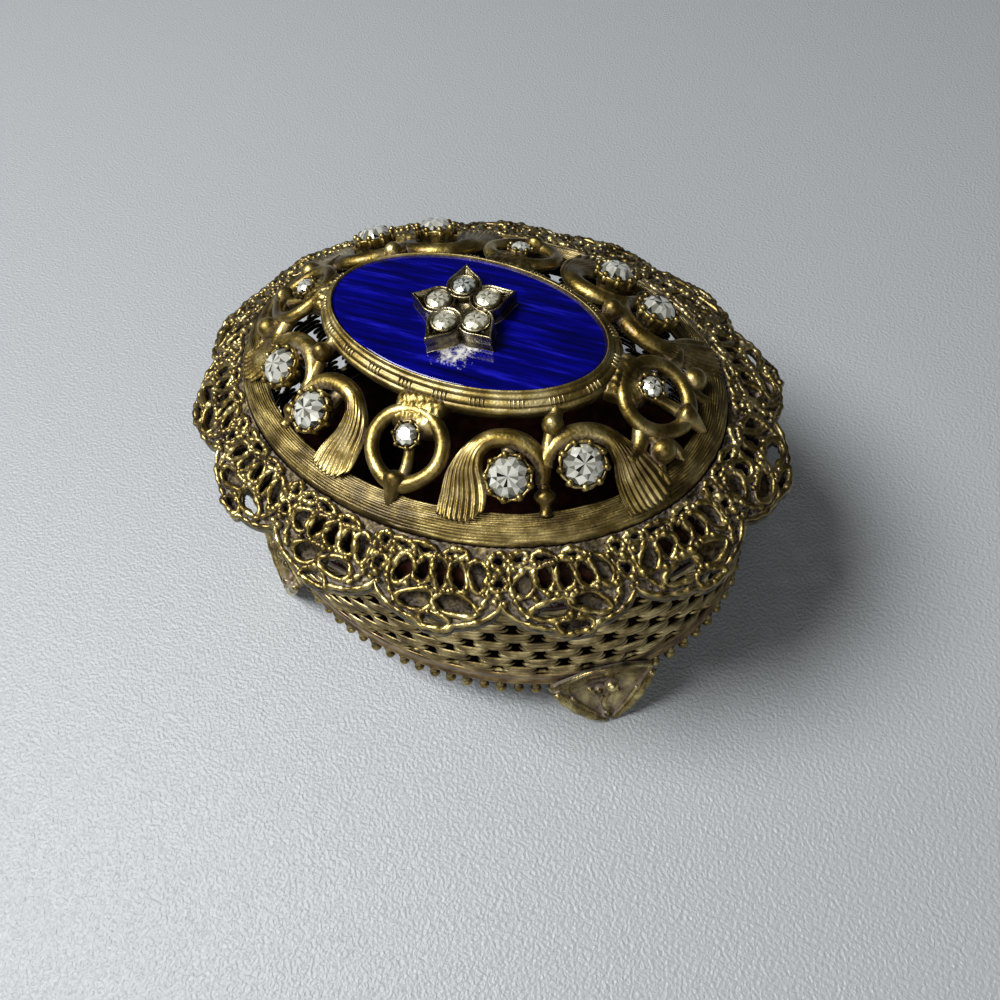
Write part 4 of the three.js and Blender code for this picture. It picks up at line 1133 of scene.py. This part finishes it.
# The plan's cells and grains for every lobe, each a little different
def placeCells():
    rng = random.Random(lace["placeSeed"])
    shift = lambda size: rng.uniform(-size, size)
    cells, grains = [], []
    for lobe in range(lace["lobes"]):
        middle = lobe * pitch
        for x, y, a, b, tilt, isOpen in laceCells:
            likely = wander["asPlanned"] if y < outerCells else wander["outerAsPlanned"]
            kept = isOpen if rng.random() < likely else not isOpen
            cells.append((middle + x + shift(wander["along"] if abs(x) < 6 else wander["between"]),
                          y + shift(wander["shift"]), a * rng.uniform(*wander["long"]),
                          b * rng.uniform(*wander["wide"]), tilt + shift(wander["tilt"]), kept))
        for x, y, size in laceGrains:
            spot = laceSpot(middle + x + shift(wander["shift"]), y + shift(wander["shift"]), lace["sink"])
            grains.append((spot, size * rng.uniform(*wander["grain"])))
    return cells, grains


# The lobe's edge bulges out round its outer cells
def laceEdge(cells, along):
    u = np.abs((along + pitch / 2) % pitch - pitch / 2) / pitch
    low = (lace["valley"] - lace["inner"]) * laceStretch
    edge = low + (laceReach - 0.6 - low) * np.clip(1 - (2 * u) ** 2.1, 0, 1) ** 0.62
    for x, y, a, b, _, _ in cells:
        if y > outerCells:
            away = alongFrom(along, x)
            bulge = y + (b + 0.32) * np.sqrt(np.clip(1 - (away / (a + 0.4)) ** 2, 0, 1))
            edge = np.where(np.abs(away) < a + 0.4, np.maximum(edge, bulge), edge)
    return np.minimum(edge, laceReach)


# The cast ground between the wires: a grid over every lobe, with cups sunk in it and open cells
# cut out of it
def makeLace(cells):
    rows = lace["rows"]
    along = np.arange(laceSpan) * pitch / lace["columns"]
    edge = laceEdge(cells, along)
    out = edge[:, None] * np.arange(rows)[None, :] / (rows - 1)
    along = np.repeat(along[:, None], rows, 1)
    lumps = np.sin(5.3 * along + 2 * np.sin(2.1 * out)) * np.sin(4.7 * out + 1.3 * np.sin(along))
    height = -lace["sink"] + 0.09 * lumps
    height += 0.25 * np.clip(1 - (edge[:, None] - out) / 0.5, 0, 1)
    isHole = np.zeros(out.shape, bool)
    cup = np.zeros(out.shape)
    for cell in cells:
        offset = offCell(cell, along, out)
        cup = np.maximum(cup, np.clip(-offset / 0.25, 0, 1))
        if cell[5]:
            isHole |= offset < -0.14
        else:
            sunk = np.maximum(-lace["sink"] + 1.5 * offset, -lace["cupDepth"])
            height = np.minimum(height, np.where(offset < 0, sunk, 1.0))
    isHole &= (edge[:, None] - out > 0.35) & (out > 0.3)
    turns = laceTurns[:-1][:, None]
    radius = lace["inner"] + out / laceStretch
    x, y = radius * np.cos(turns), (radius - ovalDifference) * np.sin(turns)
    flat = laceTop(radius)
    top = np.stack([x, y, flat + height], -1)
    bottom = np.stack([x, y, flat - lace["thickness"]], -1)
    gone = isHole & np.roll(isHole, -1, 0)
    gone = gone[:, :-1] & gone[:, 1:]
    keep = ~gone
    index = np.arange(laceSpan * rows).reshape(laceSpan, rows)
    after = np.roll(index, -1, 0)
    quads = np.stack([index[:, :-1], index[:, 1:], after[:, 1:], after[:, :-1]], -1)
    total = laceSpan * rows
    faces = [tuple(f) for f in quads[keep]] + [tuple(f[::-1] + total) for f in quads[keep]]

    def wall(where, a, b):
        for p, q in zip(quads[..., a][where], quads[..., b][where]):
            faces.append((p, q, q + total, p + total))

    wall(keep & np.roll(gone, 1, 0), 1, 0)
    wall(keep & np.roll(gone, -1, 0), 3, 2)
    wall(keep & np.concatenate([np.ones((laceSpan, 1), bool), gone[:, :-1]], 1), 0, 3)
    wall(keep & np.concatenate([gone[:, 1:], np.ones((laceSpan, 1), bool)], 1), 2, 1)
    points = np.concatenate([top.reshape(-1, 3), bottom.reshape(-1, 3)])
    used = np.zeros(len(points), bool)
    used[np.array(faces).ravel()] = True
    renumbered = np.cumsum(used) - 1
    shape = Shape()
    shape.add(points[used], [tuple(renumbered[list(face)]) for face in faces])
    web = shape.make("laceWeb", webBrass)
    # Marks the cups, where dust is kept out so that their painted shade shows
    depth = np.concatenate([cup.ravel(), cup.ravel()])[used]  # keeps dust out of the cups
    addValues(web.data, "cup", "POINT", depth)
    return web


# A lumpy wire round every cell, one along the edge, and two between each lobe and the next
def laceWires(cells):
    rng = random.Random(lace["wireSeed"])
    runs = []
    blob = lambda k, phase: 1 + 0.24 * math.sin(1.9 * k + phase) + 0.22 * math.sin(0.83 * k + 2 * phase)
    nearest, farthest = 0.3, laceReach - 0.46
    steps = 24
    for x, y, a, b, tilt, _ in cells:
        turn, phase, third = math.radians(tilt), rng.uniform(0, 6), rng.uniform(0, 6)
        places, thickness = [], []
        for k in range(steps):
            f = 2 * math.pi * k / steps
            swell = 1.02 + 0.1 * math.sin(2 * f + phase) + 0.1 * math.sin(3 * f + third)
            p, q = a * swell * math.cos(f), b * swell * math.sin(f)
            along = x + p * math.cos(turn) - q * math.sin(turn)
            out = min(farthest, max(nearest, y + p * math.sin(turn) + q * math.cos(turn)))
            places.append(laceSpot(along, out, 0.02 + 0.08 * math.sin(f + third)))
            thickness.append(lace["wire"] * blob(k, phase))
        runs.append((places, thickness, True))
    places, thickness = [], []
    rim = laceEdge(cells, np.arange(laceSpan) * pitch / lace["columns"])
    for k in range(laceSpan):
        places.append(laceSpot(k * pitch / lace["columns"], rim[k] - 0.34, -0.05))
        thickness.append(0.85 * lace["wire"] * blob(0.6 * k, 1.0))
    runs.append((places, thickness, True))
    for lobe in range(lace["lobes"]):
        for sign in (-1, 1):
            bend = smoothCourse([(sign * x, y, 0) for x, y in laceSides], 26)
            phase = rng.uniform(0, 6)
            places = [laceSpot(lobe * pitch + x, y, 0.05) for x, y, _ in bend]
            thickness = [lace["wire"] * (1 + 0.3 * math.sin(1.6 * k + phase)) for k in range(len(places))]
            runs.append((places, thickness, False))
    return runs


cells, grainPlaces = placeCells()
settle(makeLace(cells), "lace_border")
settle(growWires("laceWires", laceWires(cells), 7, antiqueGilt), "lace_border")
settle(growGrains("laceGrains", grainPlaces, antiqueGilt), "lace_border")
print("lace made")


# Bezel, plaque and star

bezel = {"groups": 21, "steps": 9, "bars": 4, "barSize": (0.14, 0.5, 0.2), "slope": 40, "ticksIn": 0.7,
         "ticksUp": 1.5, "sunk": 0.15, "gap": 0.05}
low, high = bezelLow[2] - bezel["sunk"], bezelHigh[2]
bore = plaqueRadius + bezel["gap"]
# Its reeds: how far in from the face, and how far up from the foot
reeds = [(0.35, 0.0), (0.08, 0.2), (0.0, 0.5), (0.08, 0.8), (0.3, 1.0), (0.42, 1.0), (0.46, 1.08), (0.42, 1.2),
         (0.55, 1.42), (0.85, 1.6), (1.05, 1.6), (1.1, 1.68), (1.1, 1.85), (1.25, 2.05), (1.42, 2.08),
         (1.5, 2.1), (1.55, 2.3)]
bezelShape = Shape()
ovalSweep(bezelShape, [(bore, low)] + [(bezelRadius - deep, low + rise) for deep, rise in reeds]
          + [(bore + 0.22, high - 0.08), (bore + 0.12, high), (bore, high - 0.05)], 360)
settle(bezelShape.make("reededBezel", bezelGilt), "bezel")
ticks = grow("bezelTicks", tickTree(), {
    **ovalValues(bezelRadius - bezel["ticksIn"], low + bezel["ticksUp"]), "Groups": bezel["groups"],
    "Steps in a group": bezel["steps"], "Bars in a group": bezel["bars"],
    "Bar size": [v * mm for v in bezel["barSize"]], "Slope": math.radians(bezel["slope"]),
    "Material": tickGilt})
settle(ticks, "bezel")

plaque = {"rings": 24, "steps": 160, "fall": 0.2}  # the enamel falls away a little to its edge


def makePlaque():
    rings, steps = plaque["rings"], plaque["steps"]
    levels = [(plaqueRadius * k / rings, plaqueTop - plaque["fall"] * (k / rings) ** 2)
              for k in range(1, rings + 1)]
    levels.append((plaqueRadius, plaqueLow[2]))
    points = [(0, 0, plaqueTop)]
    for radius, height in levels:
        half = radius / plaqueRadius * (plaqueRadius - ovalDifference)
        for k in range(steps):
            t = 2 * math.pi * k / steps
            points.append((radius * math.cos(t), half * math.sin(t), height))
    faces = [(0, 1 + k, 1 + (k + 1) % steps) for k in range(steps)]
    faces += [tuple(f) for f in gridFaces(len(levels), steps, False, True, offset=1)[:, [0, 3, 2, 1]]]
    faces.append(tuple(1 + rings * steps + k for k in range(steps))[::-1])
    shape = Shape()
    shape.add(points, faces)
    return shape.make("enamelledPlaque", enamel)


settle(makePlaque(), "enamel_plaque")

star = {"tip": 6.33, "turn": 111.0, "petalCentre": 2.95, "petalRadius": 2.05, "stone": 1.32,
        "rise": (0.10, 0.0, -0.06, 0.04, 0.0)}
starFoot, starTop = plaqueTop - 0.02, starHead - 0.2
petalLayers = [  # share of the outline, share of the height
    (1.04, 0.0), (1.04, 0.12), (0.98, 0.3), (0.97, 0.34), (1.0, 0.42), (1.0, 0.9), (0.985, 0.98), (0.94, 1.0),
    (0.88, 0.95), (0.84, 0.86), (0.6, 0.82), (0.0, 0.82)]


# A round petal drawn out to a point
def petalOutline(points=48):
    reach = star["tip"] - star["petalCentre"]
    opening = math.acos(star["petalRadius"] / reach)
    outline = []
    for k in range(points):
        part = k / (points - 1)
        a = opening + (2 * math.pi - 2 * opening) * part
        outline.append((star["petalRadius"] * math.cos(a), star["petalRadius"] * math.sin(a)))
    sides = []
    for k in range(1, 10):
        f = k / 10
        x = outline[-1][0] + (reach - outline[-1][0]) * f
        y = outline[-1][1] * (1 - f) ** 1.15
        sides.append((x, y))
    return outline + sides + [(reach, 0)] + [(x, -y) for x, y in sides[::-1]]


def makeStar():
    shape = Shape()
    outline = petalOutline()
    count = len(outline)
    height = starTop - starFoot
    for petal, lift in enumerate(star["rise"]):
        a = math.radians(star["turn"] - 72 * petal)
        ca, sa = math.cos(a), math.sin(a)
        points = []
        for scale, part in petalLayers[:-1]:
            for x, y in outline:
                px = star["petalCentre"] + x * scale
                py = y * scale
                points.append((px * ca - py * sa, px * sa + py * ca, starFoot + height * part + lift * part))
        middle = (star["petalCentre"] * ca, star["petalCentre"] * sa)
        points.append((*middle, starFoot + height * petalLayers[-1][1] + lift))
        faces = [tuple(f) for f in gridFaces(len(petalLayers) - 1, count, False, True)]
        top = (len(petalLayers) - 2) * count
        faces += [(top + k, top + (k + 1) % count, len(points) - 1)[::-1] for k in range(count)]
        faces.append(tuple(range(count)))
        shape.add(points, faces)
        setting = [(0.28, height * 0.8), (0.3, height * 0.97), (0.16, height + 0.08), (-0.02, height + 0.02),
                   (-0.05, height * 0.8)]
        turned(shape, [(star["stone"] + out, rise + starFoot) for out, rise in setting], 40,
               Matrix.Translation(Vector((*middle, lift))))
    boss = [(0, 0.0), (1.7, 0.0), (1.7, 0.5), (1.2, 0.66), (0.9, 0.6), (0, 0.4)]
    turned(shape, [(radius, starFoot + share * height) for radius, share in boss], 32, Matrix())
    return shape.make("rhinestoneStar", starGilt)


settle(makeStar(), "star")
print("bezel, plaque and star made")


# Stones and their claw cups

brilliant = {"crown": 0.42, "table": 0.55, "break": 0.8, "girdle": 0.06, "back": 0.55, "unevenLight": 0.35}
flatBrilliant = dict(brilliant, crown=0.22, table=0.5)  # in the star they lie lower


# Eight-fold cut: a table split in sixteen, star and kite facets, a thin girdle and a pointed back
def makeBrilliant(name, radius, place, material, seed, cut):
    rng = random.Random(seed)
    n, crown = 8, cut["crown"]
    level = lambda r, h, turn, count: [(radius * r * math.cos(2 * math.pi * (k + turn) / count),
                                        radius * r * math.sin(2 * math.pi * (k + turn) / count), radius * h)
                                       for k in range(count)]
    points = level(cut["table"], crown, 0, n) + level(cut["break"], crown * 0.55, 0.5, n)
    points += level(1.0, 0, 0, 2 * n) + level(1.0, -cut["girdle"], 0, 2 * n)
    culet, middle, firstHalf = len(points), len(points) + 1, len(points) + 2
    points += [(0, 0, -cut["back"] * radius), (0, 0, radius * crown)]
    for k in range(n):
        a, b = points[k], points[(k + 1) % n]
        points.append((0.5 * (a[0] + b[0]), 0.5 * (a[1] + b[1]), radius * crown))
    faces, shares = [], []  # each facet, and its share of the light
    girdle = lambda i: 2 * n + i % (2 * n)
    for k in range(n):
        after, kite, half = (k + 1) % n, n + k, firstHalf + k
        faces += [(k, half, middle), (half, after, middle), (k, kite, half), (half, kite, after),
                  (after, kite, girdle(2 * k + 2)), (kite, girdle(2 * k + 1), girdle(2 * k + 2)),
                  (k, girdle(2 * k), kite), (kite, girdle(2 * k), girdle(2 * k + 1))]
        shares += [(0.15, 0.8)[k % 2], (0.5, 0.95)[k % 2], 0.9, 0.5, 0.6, 0.1, 0.7, 0.4]
    for k in range(2 * n):
        a, b = girdle(k), girdle(k + 1)
        faces += [(a, a + 2 * n, b + 2 * n, b), (a + 2 * n, culet, b + 2 * n)]
        shares += [0.5, 0.3]
    shape = Shape()
    shape.add(moved(points, place), faces)
    piece = shape.make(name, material, smooth=False)
    # Each facet's painted reflection, varied a little from stone to stone
    spread = cut["unevenLight"]
    uneven = [min(1.0, max(0.0, share + rng.uniform(-spread, spread))) for share in shares]
    addValues(piece.data, "facet", "FACE", uneven)
    return piece


# Stands a cup square on the dome, with its rim over the given place
def standing(x, y, height):
    normal = domeNormal(x, y)
    foot = np.array([x, y]) - normal[:2] * height
    at = onDome(foot[0], foot[1])
    turn = Vector((0, 0, 1)).rotation_difference(Vector(normal)).to_matrix().to_4x4()
    return Matrix.Translation(Vector(at)) @ turn


cups = {"large": {"stone": 2.2, "height": 2.2, "claws": 9, "grain": 0.42, "ribs": 9},
        "small": {"stone": 1.25, "height": 1.4, "claws": 7, "grain": 0.3, "ribs": 7}}


# A ribbed cup with balled claws round its rim
def makeCup(name, place, look, node, turn):
    rim, height = look["stone"] + 0.3, look["height"]
    shape = Shape()
    profile = [(0, -0.5), (0.62 * rim, -0.5), (0.66 * rim, 0.0), (0.78 * rim, 0.3 * height),
               (0.97 * rim, 0.75 * height), (rim, 0.92 * height), (0.99 * rim, height),
               (0.93 * rim, 0.99 * height), (0.86 * rim, 0.8 * height), (0.4 * rim, 0.3 * height),
               (0, 0.3 * height)]
    ribs = lambda n, a: 0.09 * rim * abs(math.cos(look["ribs"] * a / 2 + turn)) if 2 <= n <= 6 else 0.0
    turned(shape, profile, look["ribs"] * 8, place, ribs)
    for k in range(look["claws"]):
        a = turn + 2 * math.pi * k / look["claws"]
        top = place @ Vector((0.98 * rim * math.cos(a), 0.98 * rim * math.sin(a), height + 0.12))
        ball(shape, top, look["grain"], 8, 10)
        base = place @ Vector((1.0 * rim * math.cos(a), 1.0 * rim * math.sin(a), 0.5 * height))
        tube(shape, [np.array(base), np.array(top)], look["grain"] * 0.8, 8)
    settle(shape.make(name, brightGilt), node)


# A stone in its cup, with its girdle just over the rim
def setStone(which, place, look, spin, seed):
    seat = place @ Matrix.Translation(Vector((0, 0, look["height"] + 0.05))) @ spin
    stone = makeBrilliant(f"brilliant_{which}", look["stone"], seat, clearStone, seed, brilliant)
    settle(stone, "stone_" + which)


largePlaces = {"near": (12.5, 15.9), "far": (19.3, 11.7)}
for index, (quarter, (signX, signY)) in enumerate(quarters.items()):
    for order, (which, (x, y)) in enumerate(largePlaces.items()):
        node = f"{quarter}_{which}"
        place = standing(signX * x, signY * y, cups["large"]["height"])
        makeCup(f"clawCup_{node}", place, cups["large"], "cup_" + node, 0.3 * index + order)
        setStone(node, place, cups["large"], Matrix.Rotation(0.4 * index + order, 4, "Z"), 10 * index + order)
smallPlaces = {"right": (22.6, 0.0), "back": (0.0, 15.3), "left": (-22.6, 0.0), "front": (0.0, -15.3)}
for index, (which, (x, y)) in enumerate(smallPlaces.items()):
    place = standing(x, y, cups["small"]["height"])
    makeCup(f"clawCup_{which}", place, cups["small"], "cup_" + which, 0.2 * index)
    setStone(which, place, cups["small"], Matrix(), 60 + index)
for k, lift in enumerate(star["rise"]):
    a = math.radians(star["turn"] - 72 * k)
    middle = (star["petalCentre"] * math.cos(a), star["petalCentre"] * math.sin(a), starTop - 0.05 + lift)
    place = Matrix.Translation(Vector(middle)) @ Matrix.Rotation(k, 4, "Z")
    stone = makeBrilliant(f"starBrilliant_{k + 1}", star["stone"], place, dullStone if k else darkStone, 90 + k,
                          flatBrilliant)
    settle(stone, f"star_stone_{k + 1}")
print("stones and cups made")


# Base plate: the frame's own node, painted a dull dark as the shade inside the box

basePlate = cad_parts["base_plate"]
basePlate.data.materials.clear()
basePlate.data.materials.append(darkLining)


# Floor, light and camera, at the photograph's angle

# Degrees and mm, and the focal length in pixels of the photograph, which is 1000 wide
view = {"azimuth": 33.59, "elevation": 58.17, "roll": -10.27, "distance": 119.69, "across": 1.57, "up": -6.87,
        "aimHeight": 20.0, "focalPixels": 850.0, "photoWidth": 1000, "sensor": 36.0}
floorLook = {"colour": "#989b9d", "grain": 0.48, "relief": 0.23, "roughness": 0.42, "half": 2.0}


# A pale painted board: the roller has left a fine, soft relief in the paint
def floorMaterial(look):
    material, tree = newMaterial("paleFloor")
    place = addNode(tree, "ShaderNodeTexCoord").outputs["Object"]
    grain = addNode(tree, "ShaderNodeTexNoise",
                    {"Scale": perMm(look["grain"]), "Detail": 2.0, "Roughness": 0.5, "Distortion": 0.2},
                    {"Vector": place}).outputs["Fac"]
    bump = addNode(tree, "ShaderNodeBump", {"Strength": 1.0, "Distance": look["relief"] * mm},
                   {"Height": grain})
    shader = addNode(tree, "ShaderNodeBsdfPrincipled",
                     {"Base Color": linear(look["colour"]), "Roughness": look["roughness"]}, {"Normal": bump})
    addNode(tree, "ShaderNodeOutputMaterial", {}, {"Surface": shader})
    return material


edge = floorLook["half"]
floorCorners = [(-edge, -edge, 0), (edge, -edge, 0), (edge, edge, 0), (-edge, edge, 0)]
floorMesh = bpy.data.meshes.new("floor")
floorMesh.from_pydata(floorCorners, [], [(0, 1, 2, 3)])
floorMesh.materials.append(floorMaterial(floorLook))
floor = addObject("floor", floorMesh)

azimuth, elevation, roll = (math.radians(view[k]) for k in ("azimuth", "elevation", "roll"))
back = Vector((math.sin(azimuth) * math.cos(elevation), -math.cos(azimuth) * math.cos(elevation),
               math.sin(elevation)))
level = Vector((math.cos(azimuth), math.sin(azimuth), 0))
upward = back.cross(level)
right = level * math.cos(roll) + upward * math.sin(roll)
up = upward * math.cos(roll) - level * math.sin(roll)
aim = Vector((0, 0, view["aimHeight"])) + right * view["across"] + up * view["up"]
cameraData = bpy.data.cameras.new("camera")
cameraData.sensor_width = view["sensor"]
cameraData.lens = view["focalPixels"] / view["photoWidth"] * view["sensor"]
cameraData.clip_start = 0.01
camera = addObject("camera", cameraData)
turnMatrix = Matrix((right, up, back)).transposed().to_4x4()
camera.matrix_world = Matrix.Translation((aim + back * view["distance"]) * mm) @ turnMatrix
bpy.context.scene.camera = camera

# Round soft lights, in metres to the camera's right, away from it and up: a window at the left,
# and a weak fill from the camera's side
lights = {"window": {"place": (-0.36, -0.02, 0.58), "size": 0.34, "power": 7.6, "colour": (0.98, 0.99, 1.0)},
          "fill": {"place": (-0.1, -0.5, 0.34), "size": 0.5, "power": 1.0, "colour": (1.0, 0.99, 0.97)}}
lightTarget = Vector((0, 0, 0.02))
studio = {"colour": "#c9ced4", "strength": 0.09}  # grey light from all round
away = Vector((-back.x, -back.y, 0)).normalized()
sideways = Vector((right.x, right.y, 0)).normalized()
for name, look in lights.items():
    data = bpy.data.lights.new(name, "AREA")
    data.shape = "DISK"
    data.size = look["size"]
    data.energy = look["power"]
    data.color = look["colour"]
    light = addObject(name, data)
    toRight, beyond, rise = look["place"]
    light.location = sideways * toRight + away * beyond + Vector((0, 0, rise))
    light.rotation_euler = (lightTarget - light.location).to_track_quat("-Z", "Y").to_euler()
world = bpy.data.worlds.new("studio")
world.use_nodes = True
background = world.node_tree.nodes["Background"]
background.inputs["Color"].default_value = linear(studio["colour"])
background.inputs["Strength"].default_value = studio["strength"]
bpy.context.scene.world = world
bpy.context.scene.view_settings.view_transform = "Standard"
print("stage made")
